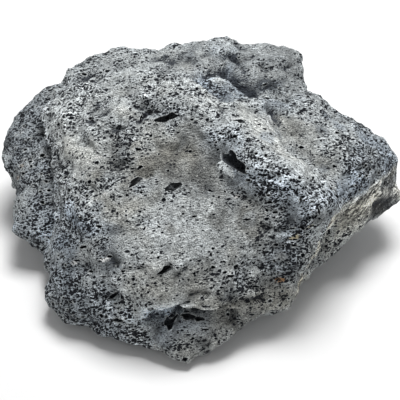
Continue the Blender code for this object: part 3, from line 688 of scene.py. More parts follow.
DENTS = [                                   # sights, half width, depth: small hollows seen one by one
    ([(78, 76), (84, 72), (92, 75)], 2.4, 3.2), ([(77, 81), (82, 80)], 1.2, 1.8),
    ([(94, 79), (103, 75)], 1.4, 2.4), ([(107, 77), (111, 75)], 1.0, 1.4),
    ([(109, 72), (114, 68), (119, 70)], 1.2, 1.2), ([(79, 64), (81, 61)], 1.2, 1.2),
    ([(89, 112), (98, 103)], 2.2, 1.8), ([(100, 112), (108, 111), (118, 103)], 1.7, 1.8),
    ([(88, 118), (92, 121)], 1.7, 2.6), ([(68, 128), (73, 124)], 1.4, 1.2),
    ([(104, 132), (112, 129), (121, 127)], 1.1, 2.4), ([(119, 119), (124, 120)], 1.2, 1.2),
    ([(138, 121), (141, 115), (146, 110)], 1.4, 3.0), ([(134, 106), (142, 105), (148, 100)], 1.1, 1.8),
    ([(150, 109), (153, 104)], 1.3, 2.0), ([(146, 91), (149, 89)], 1.2, 1.4),
    ([(120, 143), (124, 142)], 1.8, 1.8), ([(107, 146), (111, 143)], 1.6, 1.4),
    ([(118, 158), (112, 160)], 1.4, 1.2), ([(128, 156), (124, 149)], 2.4, -1.4),
    ([(116, 112)], 3.4, -1.6), ([(54, 155), (56, 163)], 1.8, 1.6), ([(103, 175)], 1.8, 1.0),
    ([(154, 57), (164, 55), (172, 60)], 2.4, 2.2), ([(158, 69), (166, 68), (176, 70)], 1.0, 2.4),
    ([(187, 61), (190, 58)], 1.2, 1.8), ([(181, 65), (188, 61), (197, 56)], 1.1, -1.2),
    ([(204, 71), (212, 68), (224, 69)], 1.6, 2.6), ([(221, 65), (224, 72)], 1.7, 2.4),
    ([(228, 65), (231, 70)], 1.5, 1.4), ([(202, 54), (212, 53)], 1.5, 1.4),
    ([(223, 54), (229, 51), (234, 57)], 1.6, 2.8), ([(236, 52), (239, 58)], 1.2, 1.8),
    ([(233, 73), (241, 81), (253, 93)], 2.4, 4.4), ([(212, 98), (223, 109)], 0.9, 2.0),
    ([(236, 57), (243, 66), (248, 76)], 1.4, 2.0), ([(237, 44), (246, 48)], 1.6, 2.0),
    ([(247, 58), (257, 53)], 1.3, 1.6), ([(262, 64), (268, 69)], 1.5, 2.2),
    ([(282, 63), (286, 67)], 1.4, 1.6), ([(288, 65), (295, 63)], 1.1, 1.8),
    ([(261, 87), (269, 84)], 1.1, 2.4), ([(294, 91), (300, 90)], 1.1, 1.2),
    ([(281, 92), (291, 96)], 1.2, 1.4), ([(272, 111), (277, 120)], 1.9, 2.0),
    ([(292, 74), (298, 78)], 1.6, 1.0), ([(181, 74), (205, 90)], 1.0, -1.0),
    ([(318, 124), (323, 124)], 1.6, 1.0), ([(352, 148), (338, 162)], 1.3, 1.6),
    ([(360, 168), (374, 168)], 1.6, 1.4), ([(345, 175), (366, 180)], 1.4, 1.2),
    ([(177, 276), (186, 270)], 1.7, 1.8), ([(160, 275), (170, 268)], 1.6, 1.0),
    ([(176, 309), (184, 304), (191, 302)], 1.1, 1.8), ([(191, 295), (199, 293), (208, 294)], 0.9, 1.8),
    ([(110, 258), (115, 264)], 1.8, 1.6), ([(83, 268), (92, 272)], 1.6, 1.4),
    ([(100, 299), (108, 300), (116, 295)], 1.5, 2.0), ([(100, 311), (114, 316)], 2.4, 1.0),
    ([(147, 326), (158, 325)], 1.4, 1.8), ([(165, 328), (171, 320), (180, 316)], 0.9, 1.7),
    ([(186, 315), (194, 319), (205, 320)], 0.9, 1.8), ([(250, 299), (263, 300)], 1.5, 1.6),
    ([(222, 300), (234, 297)], 1.5, 1.4), ([(252, 287), (262, 289)], 1.3, 1.6),
    ([(376, 206), (392, 200)], 2.4, 1.6), ([(66, 318), (90, 322)], 2.0, 1.4),
]
print(len(CREASES), "creases and", len(DENTS), "dents")

# %% [markdown]
# ## From strokes to maps
#
# Every corner of the skin gets a few numbers from the strokes round it, and everything
# after this reads only those maps: porosity, warmth, tone, and how much of the layers of
# the strip and of the ridge shows.  The tone holds painted light and shade as well as the
# rock's own paler and darker places.  A noise pushes the edges of the strokes in and out.

# %% Maps of the skin
SKIN_FROTH_SEED = 21
EDGE_WAVE = 16.0                            # wavelength of the wandering of a stroke's edge, millimetres
EDGE_WANDER = 0.35
EDGE_LIMITS = (0.4, 2)
WILD_WAVE = 60.0                            # the same for the skins and the froth that nobody painted
WILD_FROM = 1.5                             # that noise closes the froth above this
WILD_GAIN = 0.8                             # so fast
WILD_CLOSED = 0.6                           # and no further than this
WILD_WARMTH = 0.4
WILD_FROTH = 0.12
FROTH_LIMITS = (0.15, 0.8)
STRIP_CLOSED = 0.6                          # how far the strip's layers close the froth
WARMTH_LIMITS = (-1, 1.8)


def sighted_strokes(strokes):
    """The place on the form of every sight of every stroke."""
    return {name: np.array([sighted_surface(*sight, fit) for sight in stroke[0]])
            for name, stroke in strokes.items()}


skin_lines, dense_lines, tone_lines = sighted_strokes(SKINS), sighted_strokes(DENSE), sighted_strokes(TONES)
crease_lines = sighted_strokes(CREASES)
strip_line, ridge_line = (np.array([sighted_surface(*sight, fit) for sight in sights])
                          for sights in (STRIP_EDGE, RIDGE_LINE))


def stroke_bell(points, line, half_width, ragged):
    """1 on a stroke's line, falling as a bell; ragged stretches the distance."""
    distance = np.linalg.norm(points - line[0], axis=1)
    if len(line) > 1:
        distance, _ = nearest_on_line(points, line)
    return np.exp(-(distance * ragged / half_width) ** 2 / 2)


def painted(points, strokes, ragged=1.0):
    """Sum at points of strokes without names, each a bell of its own strength round its sights."""
    total = np.zeros(len(points))
    for sights, half_width, strength in strokes:
        line = np.array([sighted_surface(*sight, fit) for sight in sights])
        total = total + strength * stroke_bell(points, line, half_width, ragged)
    return total


def skin_maps(points):
    """Porosity, warmth, tone, and how much of the strip's and of the ridge's layers shows, at points."""
    ragged = np.clip(1 + EDGE_WANDER * wave_field(points, EDGE_WAVE, SKIN_FROTH_SEED), *EDGE_LIMITS)
    wild = wave_field(points, WILD_WAVE, SKIN_FROTH_SEED + 1)
    closed = np.clip((wild - WILD_FROM) * WILD_GAIN, 0, WILD_CLOSED)
    warmth = WILD_WARMTH * closed
    frothy = np.clip(PLAIN_POROSITY - WILD_FROTH * wild, *FROTH_LIMITS)
    for name, (_, half_width, strength) in DENSE.items():
        frothy = frothy + (1 - frothy) * strength * stroke_bell(points, dense_lines[name], half_width, ragged)
    for name, (_, half_width, strength, brown) in SKINS.items():
        bell = strength * stroke_bell(points, skin_lines[name], half_width, ragged)
        closed = np.maximum(closed, bell)
        warmth = np.maximum(warmth, bell * brown)
    # the smaller strokes of painted light and shade and of the rock's own tone
    tone = painted(points, TONE_LIGHT_AND_SHADE, ragged)
    for name, (_, half_width, paler, yellower) in TONES.items():
        bell = stroke_bell(points, tone_lines[name], half_width, ragged)
        tone = tone + paler * bell
        warmth = warmth + yellower * bell
    below = (ACROSS - UPWARD) / math.sqrt(2)
    strip = carve_depth(points, strip_line, *STRIP_WIDTHS, 1.0, below)
    ridge = stroke_bell(points, ridge_line, RIDGE_WIDTH, ragged)
    porosity = frothy * (1 - closed) * (1 - STRIP_CLOSED * strip)
    warmth = warmth + painted(points, TINTS, ragged) + STRIP_WARMTH * strip
    # the strip's painted light goes into the tone
    return porosity, np.clip(warmth, *WARMTH_LIMITS), tone + STRIP_PAINTED_LIGHT * strip, strip, ridge


smooth_points = HEART + skin_directions * smooth_reach(skin_directions, fit)[:, None]
porosity, warmth, tone, strip, ridge = skin_maps(smooth_points)
print("mean porosity", porosity.mean().round(2), "and mean tone", tone.mean().round(2))

# %% [markdown]
# ## Knobs, ledges and pits
#
# The skin's own relief is finer than the solid's: knobs as big as a fingertip, small ledges,
# and pits set side by side with sharp walls between, strong in the froth and faint on the
# smooth skin.  A ledge is a wave squared off, and a pit is a hollow round the nearest of
# many scattered points, which is how bubbles share out the space in a froth.

# %% Fine relief
KNOBS = [(0.4, 12.0), (0.35, 7.0), (0.3, 4.2)]  # amplitude and wavelength, millimetres
STEPS = [(0.5, 26.0), (0.5, 13.0)]          # the same for waves squared off into ledges
STEP_SHARPNESS = 3.0
KNOB_SEED = 60
STEP_SEED = 70
PITS = [(0.8, 6.0), (0.6, 3.8)]             # depth and size of the pits, millimetres
PIT_SEED = 80
PIT_PATCH_SEED = 89
PIT_TABLE = 24                              # the scattered points repeat after this many cells
PIT_RADIUS = 0.75                           # in cells
PIT_MEAN = 0.3                              # taken off, so that pits don't lower the whole skin
PIT_PATCHES = (24.0, 0.7, 0.6)              # wavelength, mean and swing of how strong the pits are
PIT_LIMITS = (0.1, 1.4)
SKIN_RELIEF = 0.25                          # share of the relief that a smooth skin keeps
SKIN_LEDGES = 0.4                           # and of the ledges
DRAWN = 0.5                                 # share taken off along the flow, so ledges are twice as long


def pit_depth(points, size, seed):
    """Depth from 0 to 1 in a froth of pits: the dome of a ball round the nearest scattered point."""
    table = np.random.default_rng(seed).random((PIT_TABLE, PIT_TABLE, PIT_TABLE, 3))
    place = points / size
    cell = np.floor(place).astype(int)
    nearest = np.full(len(points), np.inf)
    for step in itertools.product((-1, 0, 1), repeat=3):
        centre = cell + step + table[tuple((cell + step).T % PIT_TABLE)]
        nearest = np.minimum(nearest, ((place - centre) ** 2).sum(1))
    return np.sqrt(np.clip(1 - nearest / PIT_RADIUS ** 2, 0, 1))


def outward_normals(points, quads):
    """The unit normal at each corner: the sum of its quads' diagonals crossed."""
    corners = points[quads]
    faces = np.cross(corners[:, 2] - corners[:, 0], corners[:, 3] - corners[:, 1])
    total = summed(faces, quads, len(points))
    return total / np.linalg.norm(total, axis=1)[:, None]


def fine_relief(points, porosity):
    """Height of knobs, ledges and pits over the solid, in millimetres."""
    strength = SKIN_RELIEF + (1 - SKIN_RELIEF) * porosity
    drawn = -DRAWN * (points @ FLOW)[:, None] * FLOW
    relief = 0.0
    for step, (size, wavelength) in enumerate(KNOBS):
        relief = relief + size * strength * wave_field(points, wavelength, KNOB_SEED + step)
    for step, (size, wavelength) in enumerate(STEPS):
        waves = wave_field(points + drawn, wavelength, STEP_SEED + step)
        ledges = SKIN_LEDGES + (1 - SKIN_LEDGES) * strength
        relief = relief + size * ledges * np.tanh(STEP_SHARPNESS * waves)
    patch_wave, patch_mean, patch_swing = PIT_PATCHES
    patchy = patch_mean + patch_swing * wave_field(points, patch_wave, PIT_PATCH_SEED)
    patchy = np.clip(patchy, *PIT_LIMITS) * strength
    for step, (size, spacing) in enumerate(PITS):
        relief = relief - size * patchy * (pit_depth(points, spacing, PIT_SEED + step) - PIT_MEAN)
    return relief


relief = fine_relief(smooth_points, porosity) * (1 + painted(smooth_points, ROUGHS))
print("relief, mm:", relief.std().round(2))

# %% [markdown]
# ## The finished skin
#
# Relief, creases and dents move each corner along the solid's own normal, and the frame's
# box holds them in.  The tone follows the relief with painted light and shade: the low places
# and creases are painted darker and the high ones paler, so that the relief shows.  A deep
# dent or crease is a cleft: little light comes back out of it, so it gets a map of its own
# for the material to darken.

# %% Move the skin
CLEFT_DEPTH = 2.6                           # a dent as deep as this has a floor as dark as a bubble
CLEFT_LIMIT = 1.2
CREASE_SHARE = 0.4                          # how far a crease of that depth goes the same way
# painted light and shade that follow the relief: paler on knobs and high places, darker in low places,
# creases and dents
RELIEF_LIGHT_AND_SHADE = 0.14                          # how much paler a place is for each millimetre of relief
CREASE_PAINTED_SHADE = 0.7                           # what a millimetre of crease counts for in that
TONE_LIMITS = (-0.8, 1.0)
FOOT_FADE = 5.0                             # the relief fades out this near the floor
SINK = 0.6                                  # keeps most of the knobs under the solid's surface

dents = painted(smooth_points, DENTS)
creases = carved(smooth_points, CREASES, crease_lines) + dents
cleft = np.clip((dents + CREASE_SHARE * (creases - dents)) / CLEFT_DEPTH, 0, CLEFT_LIMIT)
# painted shade in the low places and creases, painted light on the high ones
tone = np.clip(tone + RELIEF_LIGHT_AND_SHADE * (relief - CREASE_PAINTED_SHADE * creases), *TONE_LIMITS)
solid_skin = HEART + skin_directions * coarse_reach(skin_directions)[:, None]
lifted = np.clip(solid_skin[:, 2] / FOOT_FADE, 0, 1)
moved = ((relief - creases - SINK) * lifted)[:, None]
skin_points = solid_skin + outward_normals(solid_skin, skin_quads) * moved
skin_points = np.clip(skin_points, low_corner + shift, high_corner + shift)
print("creases and dents reach", creases.max().round(1), "mm deep")

# %% [markdown]
# ## Bubbles
#
# A vesicle is a bubble that the broken surface cut open, so it is cut here too: a closed
# ellipsoid for each bubble, taken away from the rock with one Boolean.  The large ones and
# the larger pores are placed one by one, by the sight that meets the middle of the mouth,
# with the size in millimetres that the mouth shows from the station.  On the hidden sides
# a direction from the heart says where a bubble is.

# %% Large bubbles
SIGHTED_BUBBLES = [                         # sight, turn in degrees, length, width and depth
    ((165, 120), -24, (12.0, 4.6, 6.0)), ((174, 187), -16, (8.4, 4.0, 4.5)),
    ((137, 181), -42, (11.5, 3.2, 3.4)), ((232, 162), 43, (16.5, 7.6, 8.0)),
    ((165, 271), -30, (8.0, 3.8, 4.4)), ((240, 121), 0, (6.4, 2.2, 3.0)),
    ((118, 321), 2, (6.4, 2.0, 3.0)), ((113, 297), -28, (6.4, 2.0, 3.0)),
    ((154, 312), 3, (6.6, 1.8, 2.6)), ((188, 318), 10, (7.0, 3.4, 5.0)), ((199, 320), 8, (5.4, 2.4, 4.0)),
    ((171, 323), -50, (10.0, 2.8, 4.0)),
]
print(len(SIGHTED_BUBBLES), "large bubbles by sights")

# %% Pores placed one by one
SIGHTED_PORES = [                           # column, row, turn, length, width
    (132, 135, -5, 3.6, 1.4), (138, 150, -8, 3.6, 2.3), (116, 152, -40, 5.6, 1.1), (114, 160, 0, 1.9, 1.7),
    (105, 156, 0, 1.6, 1.4), (140, 168, -25, 3.5, 1.8), (120, 197, 0, 2.6, 1.2), (127, 196, 0, 2.0, 1.5),
    (141, 193, 0, 1.8, 1.8), (131, 190, 0, 1.5, 1.3), (69, 191, 0, 2.2, 1.9), (63, 191, 0, 1.5, 1.4),
    (87, 196, 0, 2.2, 1.6), (95, 183, 60, 2.6, 1.3), (82, 175, 40, 1.8, 1.2), (67, 199, -50, 2.2, 1.2),
    (49, 191, 0, 2.4, 1.9), (42, 156, -15, 4.2, 2.2), (99, 227, 8, 4.6, 1.6), (80, 218, 0, 2.4, 1.2),
    (92, 218, -20, 2.8, 1.2), (128, 222, 10, 3.6, 1.2), (126, 211, 0, 1.4, 1.2), (126, 216, 0, 1.4, 1.2),
    (140, 212, 20, 2.0, 1.3), (93, 211, 0, 1.6, 1.4), (98, 211, 0, 1.6, 1.4), (83, 248, -15, 4.6, 1.7),
    (151, 136, -20, 2.4, 1.6), (160, 137, 0, 1.2, 1.1), (190, 152, 0, 2.1, 1.6), (168, 171, 0, 2.2, 1.4),
    (157, 182, -5, 2.8, 0.9), (210, 191, 20, 3.0, 1.7), (202, 193, 0, 1.2, 1.0), (219, 197, 0, 1.4, 1.3),
    (225, 192, 0, 1.6, 1.3), (232, 193, -20, 2.1, 1.2), (239, 197, 0, 1.5, 1.2), (222, 175, 30, 3.0, 1.7),
    (218, 166, 90, 2.4, 1.2), (220, 134, 0, 2.1, 1.3), (235, 137, 0, 2.8, 1.8), (216, 143, 0, 1.5, 1.5),
    (218, 150, -10, 2.0, 1.4), (231, 151, 0, 2.4, 1.6), (239, 155, 0, 2.0, 1.4), (244, 164, 20, 2.0, 1.6),
    (248, 169, 0, 1.6, 1.4), (248, 181, 0, 3.0, 1.7), (247, 207, 0, 1.5, 1.4), (247, 220, -5, 4.6, 1.5),
    (194, 217, -12, 3.0, 1.2), (183, 207, 0, 1.4, 1.2), (183, 214, 0, 1.5, 1.3), (159, 227, 30, 2.2, 1.1),
    (162, 233, 0, 1.5, 1.3), (166, 225, 0, 1.3, 1.0), (213, 249, 20, 2.0, 1.5), (211, 255, 75, 2.4, 1.4),
    (224, 262, 0, 1.8, 1.2), (229, 265, 0, 1.3, 1.2), (236, 257, 0, 1.3, 1.2), (152, 253, -45, 2.0, 1.0),
    (158, 258, -20, 2.0, 1.4), (194, 274, 0, 2.1, 1.5), (213, 268, 0, 2.5, 2.0), (225, 273, -15, 2.4, 1.6),
    (231, 277, 0, 4.2, 1.8), (222, 288, 0, 3.0, 1.4), (202, 298, 0, 2.0, 1.3), (187, 303, -15, 4.6, 1.5),
    (205, 307, 5, 4.2, 1.2), (177, 296, 0, 1.5, 1.1), (154, 300, 0, 1.5, 1.0), (150, 305, -10, 2.4, 1.0),
    (228, 315, 0, 2.4, 1.8), (238, 317, 0, 1.8, 1.2), (238, 322, 0, 1.8, 1.2), (205, 330, 3, 4.6, 1.4),
    (178, 333, 90, 1.7, 1.2), (193, 339, 0, 2.1, 1.6), (216, 339, 0, 2.1, 1.5), (122, 315, -25, 3.6, 1.5),
    (116, 304, -20, 2.4, 1.0), (118, 309, 0, 1.5, 1.3), (135, 311, 0, 1.6, 1.4), (131, 325, 8, 3.6, 1.0),
    (148, 293, 0, 1.8, 1.6), (130, 268, 0, 2.0, 1.5), (123, 272, 0, 2.4, 1.5), (143, 265, 0, 1.5, 1.4),
    (104, 277, 0, 3.5, 1.0), (91, 272, 8, 3.4, 1.4), (77, 261, 0, 3.8, 1.2), (110, 257, -5, 3.4, 1.5),
    (71, 303, 20, 2.8, 1.2), (53, 304, 0, 2.0, 1.2), (136, 239, 0, 1.3, 1.0), (141, 239, 0, 1.3, 1.0),
    (260, 246, 0, 2.1, 1.7), (264, 249, 0, 1.7, 1.3), (276, 245, 0, 2.8, 1.7), (283, 246, 0, 1.9, 1.3),
    (294, 246, 0, 3.4, 1.4), (295, 240, 0, 3.0, 1.2), (284, 229, 0, 2.4, 1.2), (292, 229, 0, 3.4, 1.3),
    (303, 229, 30, 3.4, 2.0), (307, 235, -5, 3.0, 1.5), (263, 275, 0, 2.8, 1.4), (265, 280, 3, 4.6, 1.4),
    (252, 281, -5, 2.6, 1.0), (256, 287, 5, 4.2, 1.4), (270, 302, -20, 2.4, 1.7), (280, 306, 0, 1.9, 1.6),
    (289, 299, 0, 1.6, 1.3), (253, 315, 0, 3.4, 1.1), (301, 148, 0, 3.6, 1.9), (338, 197, 30, 3.4, 2.0),
    (331, 189, 0, 1.8, 1.5), (335, 167, 0, 2.8, 1.8), (266, 156, 0, 2.2, 2.0), (258, 159, 90, 1.9, 1.2),
    (256, 154, 0, 1.9, 1.3), (262, 148, -30, 2.0, 1.5), (319, 212, 80, 2.8, 1.5), (265, 129, 20, 2.2, 1.1),
    (271, 134, 30, 2.0, 1.1), (275, 125, 0, 1.6, 1.0), (275, 151, 0, 1.3, 1.1), (267, 211, 70, 2.2, 1.5),
    (275, 213, -10, 3.2, 1.4), (274, 218, 0, 2.0, 1.1), (270, 203, 0, 3.0, 1.6), (268, 196, 0, 3.0, 1.3),
    (329, 140, 0, 1.6, 1.3), (321, 141, 0, 1.6, 1.3), (338, 133, 10, 3.4, 1.5), (340, 159, -30, 2.0, 1.2),
    (345, 157, -30, 2.0, 1.2), (355, 152, 0, 1.7, 1.5), (366, 166, 0, 2.2, 1.7), (370, 170, 0, 2.4, 1.6),
    (372, 163, 0, 1.8, 1.6), (367, 176, 0, 2.1, 1.7), (378, 173, 0, 1.7, 1.4), (356, 186, 0, 1.7, 1.4),
    (359, 190, 0, 2.2, 1.4), (25, 150, -10, 2.8, 1.9), (30, 162, 0, 2.8, 1.8), (23, 174, 0, 2.5, 1.9),
    (41, 174, 0, 2.3, 1.5), (46, 182, 0, 2.5, 1.9), (40, 192, 0, 2.4, 1.8), (42, 203, 10, 3.2, 2.2),
    (20, 133, 0, 1.7, 1.3), (29, 139, 0, 2.0, 1.4), (25, 142, 0, 1.6, 1.3), (57, 163, 0, 2.3, 1.5),
    (48, 128, 70, 2.0, 1.3), (197, 66, 0, 2.0, 1.8), (192, 120, 0, 2.1, 1.6), (170, 94, 5, 2.2, 1.1),
    (161, 94, 0, 1.3, 1.0), (207, 93, 0, 3.4, 1.2), (236, 97, 0, 3.6, 1.6), (239, 58, 0, 1.6, 1.5),
    (266, 69, 0, 3.0, 1.2), (265, 85, -20, 4.2, 1.3), (254, 111, -10, 2.0, 1.1), (243, 108, -30, 3.4, 1.1),
    (75, 133, 0, 1.4, 1.3), (130, 109, 0, 2.0, 1.4), (141, 118, -65, 3.4, 1.3), (152, 107, -60, 2.6, 1.3),
    (90, 119, 0, 2.4, 1.8), (84, 75, 10, 4.0, 1.6), (98, 77, -25, 3.6, 1.1), (163, 69, 0, 3.0, 1.1),
    (306, 118, 0, 1.5, 1.1), (307, 125, 0, 1.1, 1.0), (206, 69, 0, 3.0, 1.0), (222, 66, 0, 2.2, 1.4),
]
PORE_DEPTH = 1.3                            # of its width
print(len(SIGHTED_PORES), "pores by sights")

# %% Bubbles on the hidden sides
HIDDEN_BUBBLES = [                          # direction from the heart, the way it is long, and its sizes
    ((0.15, 1.0, 0.1), (1.0, 0.0, 0.3), (13.0, 6.0, 6.0)),
    ((-0.5, 0.9, -0.1), (1.0, 0.4, -0.2), (9.0, 5.0, 4.0)),
    ((0.7, 0.8, 0.0), (0.7, -0.6, 0.4), (8.0, 4.0, 4.0)),
    ((-1.0, 0.15, -0.15), (0.1, 1.0, 0.3), (10.0, 5.0, 4.5)),
    ((1.0, -0.05, -0.2), (0.1, 1.0, 0.2), (9.0, 5.0, 4.0)),
    ((0.2, 1.0, -0.35), (1.0, -0.1, -0.1), (7.0, 4.0, 3.5)),
    ((-0.25, 0.9, 0.25), (1.0, 0.2, 0.5), (6.5, 4.0, 3.5)),
]
print(len(HIDDEN_BUBBLES), "bubbles on the hidden sides")

# %% Find each sight on the skin
SIGHT_ROUND = 4.0                           # corners within so many columns and rows of a sight are looked at
SIGHT_DEEP = 5.0                            # and of those, the ones not farther behind the first than this
LEAST_FACING = -0.45                        # a slope seen more steeply than this is taken as this steep


def on_grid(turn):
    """The direction on the sighting grid that is turned clockwise from the columns by so many degrees."""
    angle = math.radians(turn)
    return ACROSS * math.cos(angle) - UPWARD * math.sin(angle)


normals = outward_normals(skin_points, skin_quads)
skin_arms = skin_points - STATION
skin_far = skin_arms @ LOOK
skin_columns = GRID_CENTRE[0] + skin_arms @ ACROSS / skin_far * STATION_DISTANCE / GRID_STEP
skin_rows = GRID_CENTRE[1] - skin_arms @ UPWARD / skin_far * STATION_DISTANCE / GRID_STEP


def on_skin(column, row):
    """The finished skin's corner that a sight passes closest to, and the sight's own place beside it."""
    away = np.hypot(skin_columns - column, skin_rows - row)
    near = np.flatnonzero(away < SIGHT_ROUND)
    front = near[skin_far[near] < skin_far[near].min() + SIGHT_DEEP]
    corner = front[np.argmin(away[front])]
    aim = on_sight(column, row, 0.0) - STATION
    aim /= np.linalg.norm(aim)
    place = STATION + aim * (skin_arms[corner] @ aim)
    slide = ((skin_points[corner] - place) @ normals[corner]) / min(aim @ normals[corner], LEAST_FACING)
    return corner, place + aim * slide


print("the middle of the grid meets the skin at", (on_skin(*GRID_CENTRE)[1] - shift).round(1))

# %% Where each placed bubble goes
def large_bubbles():
    """Corner and mouth of every large bubble, the way it is seen, the way it is long, and its sizes."""
    for sight, turn, sizes in SIGHTED_BUBBLES:
        yield *on_skin(*sight), LOOK, on_grid(turn), sizes
    for direction, along, sizes in HIDDEN_BUBBLES:
        direction = np.array(direction) / np.linalg.norm(direction)
        along = np.array(along) - direction * (direction @ along)
        arms = skin_points - HEART
        corner = np.argmax(arms @ direction / np.linalg.norm(arms, axis=1))
        yield corner, skin_points[corner], -direction, along / np.linalg.norm(along), sizes


def sighted_pores():
    """The same for the smaller pores that are placed one by one."""
    for column, row, turn, length, width in SIGHTED_PORES:
        yield *on_skin(column, row), LOOK, on_grid(turn), (length, width, PORE_DEPTH * width)


print("the first large bubble opens at", (next(large_bubbles())[1] - shift).round(1))

# %% [markdown]
# ## Keeping bubbles apart
#
# Two cutters that meet would leave slivers, and a real froth keeps a wall between its
# bubbles.  So every bubble asks for room first.  After the placed ones, small bubbles are
# thrown like darts, in random order: more of them stay in froth than in a skin, and a dart
# that lands too close to a bubble already there is dropped.

# %% Throw the small ones
BUBBLE_SEED = 5
BUBBLE_TRIES = 1000
BUBBLE_WALL = 0.35                          # least rock between two bubbles, millimetres
PLACED_WALL = 0.1
FLOOR_GAP = 4                               # no small bubble is lower than this
SKIN_CHANCE = 0.04                          # chance that a dart stays where there is no froth
SMALL_RADIUS = (0.6, 0.6)                   # least radius, and how much more it can be
BIG_CHANCE = 0.06                           # chance that a bubble is larger than that
BIG_MORE = 1.0
MORE_STRETCH = 0.9
rng = np.random.default_rng(BUBBLE_SEED)
mouths_taken, reaches_taken = [], []


def room_for(mouth, reach, wall):
    """Takes the place for a bubble if it clears every bubble already there, and says whether it did."""
    if mouths_taken:
        gaps = np.linalg.norm(np.array(mouths_taken) - mouth, axis=1)
        if (gaps < np.array(reaches_taken) + reach + wall).any():
            return False
    mouths_taken.append(mouth)
    reaches_taken.append(reach)
    return True


def throw_bubbles(points, porosity):
    """Skin point, radius and stretch of each small bubble; none meets another."""
    kept = []
    least, more = SMALL_RADIUS
    for index in rng.permutation(len(points))[:BUBBLE_TRIES]:
        chance = SKIN_CHANCE + (1 - SKIN_CHANCE) * porosity[index] ** 1.5
        if points[index, 2] < FLOOR_GAP or rng.random() > chance:
            continue
        radius = least + more * rng.random() ** 1.5
        if rng.random() < BIG_CHANCE:
            radius = radius + BIG_MORE * rng.random()
        stretch = 1 + MORE_STRETCH * rng.random() ** 2
        if room_for(points[index], radius * stretch, BUBBLE_WALL):
            kept.append((index, radius, stretch))
    return kept


large = [bubble for bubble in large_bubbles() if room_for(bubble[1], bubble[4][0] / 2, PLACED_WALL)]
middling = [pore for pore in sighted_pores() if room_for(pore[1], pore[4][0] / 2, PLACED_WALL)]
small_bubbles = throw_bubbles(skin_points, porosity)
print(len(large), "large bubbles,", len(middling), "placed pores,", len(small_bubbles), "small ones")

# %% [markdown]
# ## Cutters
#
# A cutter is a small closed ball, pulled out along the flow and made lumpy by noise, because
# bubbles that grew into each other are never clean ellipsoids.  Hundreds of them are worked
# out in one array.  A small one needs few faces, a large one is looked into and needs more.

# %% Walls of the small bubbles
SMALL_CELLS = 2                             # a small bubble has 24 quads
LUMPY = 0.16                                # how far a bubble is from a clean ellipsoid
LUMP_SIZE = 1.3                             # wavelength of that, in half widths of the bubble
LUMP_LIMITS = (0.6, 1.3)
LUMP_STEP = 0.7                             # how fast the lumps change from one bubble to the next
DEPTHS = (0.9, 1.3)                         # of a small bubble's radius
SUNK = (-0.25, 0.35)                        # how far its centre lies under the skin, of its radius
DRIFT = 0.35                                # how far the way it is long wanders from the flow


def bubble_walls(centres, axes, cells):
    """Point = centre + lumpy unit direction times the three half axes, for all bubbles at once."""
    ball, quads, _ = welded(cube_grid(cells))
    wander = centres[:, None] * LUMP_STEP + ball
    lump = wave_field(wander.reshape(-1, 3), LUMP_SIZE, BUBBLE_SEED).reshape(len(centres), len(ball), 1)
    shape = ball * np.clip(1 + LUMPY * lump, *LUMP_LIMITS)
    points = centres[:, None] + np.einsum("bpk,bkj->bpj", shape, axes)
    faces = quads[None] + (np.arange(len(centres)) * len(ball))[:, None, None]
    return points.reshape(-1, 3), faces.reshape(-1, 4)


def bubble_axes(outward, along, halves):
    """Rows: half the length along, half the width across, the depth outward, right handed."""
    along = along - outward * (outward * along).sum(1, keepdims=True)
    along /= np.linalg.norm(along, axis=1, keepdims=True)
    across = np.cross(outward, along)
    return np.stack([along, across, outward], 1) * halves[:, :, None]


index, radius, stretch = (np.array(column) for column in zip(*small_bubbles))
index = index.astype(int)
outward = normals[index]
halves = np.stack([radius * stretch, radius, radius * rng.uniform(*DEPTHS, len(index))], 1)
centres = skin_points[index] - outward * (radius * rng.uniform(*SUNK, len(index)))[:, None]
drift = rng.normal(size=(len(index), 3)) * DRIFT
small_points, small_faces = bubble_walls(centres, bubble_axes(outward, FLOW + drift, halves), SMALL_CELLS)
small_corners = np.repeat(index, len(small_points) // len(index))
print("small bubbles have", len(small_faces), "quads")

# %% Walls of the placed bubbles
MIDDLING_CELLS = 3
LARGE_CELLS = 9
LEAN = 0.16                                 # a placed bubble goes in under its upper rim, as a share of depth
UNDER_RIM = np.array([0, 0.7, 0.7])         # back and up, added to the way in


def placed_walls(bubbles, cells):
    """Points and faces of bubbles placed one by one, and the skin corner at each point's mouth.

    Length and width are as seen along the sight.  So each half axis is slid along the sight
    until it lies in the skin, and the depth goes in along the normal.
    """
    corners, mouths, seen, lengthways, sizes = (np.array(column) for column in zip(*bubbles))
    outward = normals[corners]
    facing = np.minimum((seen * outward).sum(1, keepdims=True), LEAST_FACING)

    def slid(arrows):
        return arrows - seen * (arrows * outward).sum(1, keepdims=True) / facing

    widthways = np.cross(lengthways, seen)
    axes = np.stack([slid(lengthways) * sizes[:, :1] / 2, slid(widthways) * sizes[:, 1:2] / 2,
                     outward * sizes[:, 2:]], 1)
    undercut = LEAN * sizes[:, 2:] * (UNDER_RIM - outward)
    points, faces = bubble_walls(mouths + undercut, axes, cells)
    return points, faces, np.repeat(corners, len(points) // len(corners))


cutters = [(small_points, small_faces, small_corners), placed_walls(middling, MIDDLING_CELLS),
           placed_walls(large, LARGE_CELLS)]
counts = [len(points) for points, _, _ in cutters]
offsets = np.cumsum(counts) - counts
cutter_points = np.concatenate([points for points, _, _ in cutters])
cutter_faces = np.concatenate([faces + offset for (_, faces, _), offset in zip(cutters, offsets)])
print("the cutters have", len(cutter_faces) * 2, "triangles")

# %% [markdown]
# ## Maps on the mesh
#
# The material has to know which froth, skin or cleft it is on.  A texture image would need a
# layout, so each map is stored as an attribute, one number at every corner, and the Boolean
# carries it through the cut.  A cutter takes its values from the skin corner at its mouth,
# so a bubble's rim doesn't jump in colour.  One more map, lining, says what is inside a
# bubble.  The Manifold solver is used because it is quick and needs only closed meshes.

# %% Skin and cutter meshes
LARGE_LINING = 0.8                          # a little light reaches into a large bubble


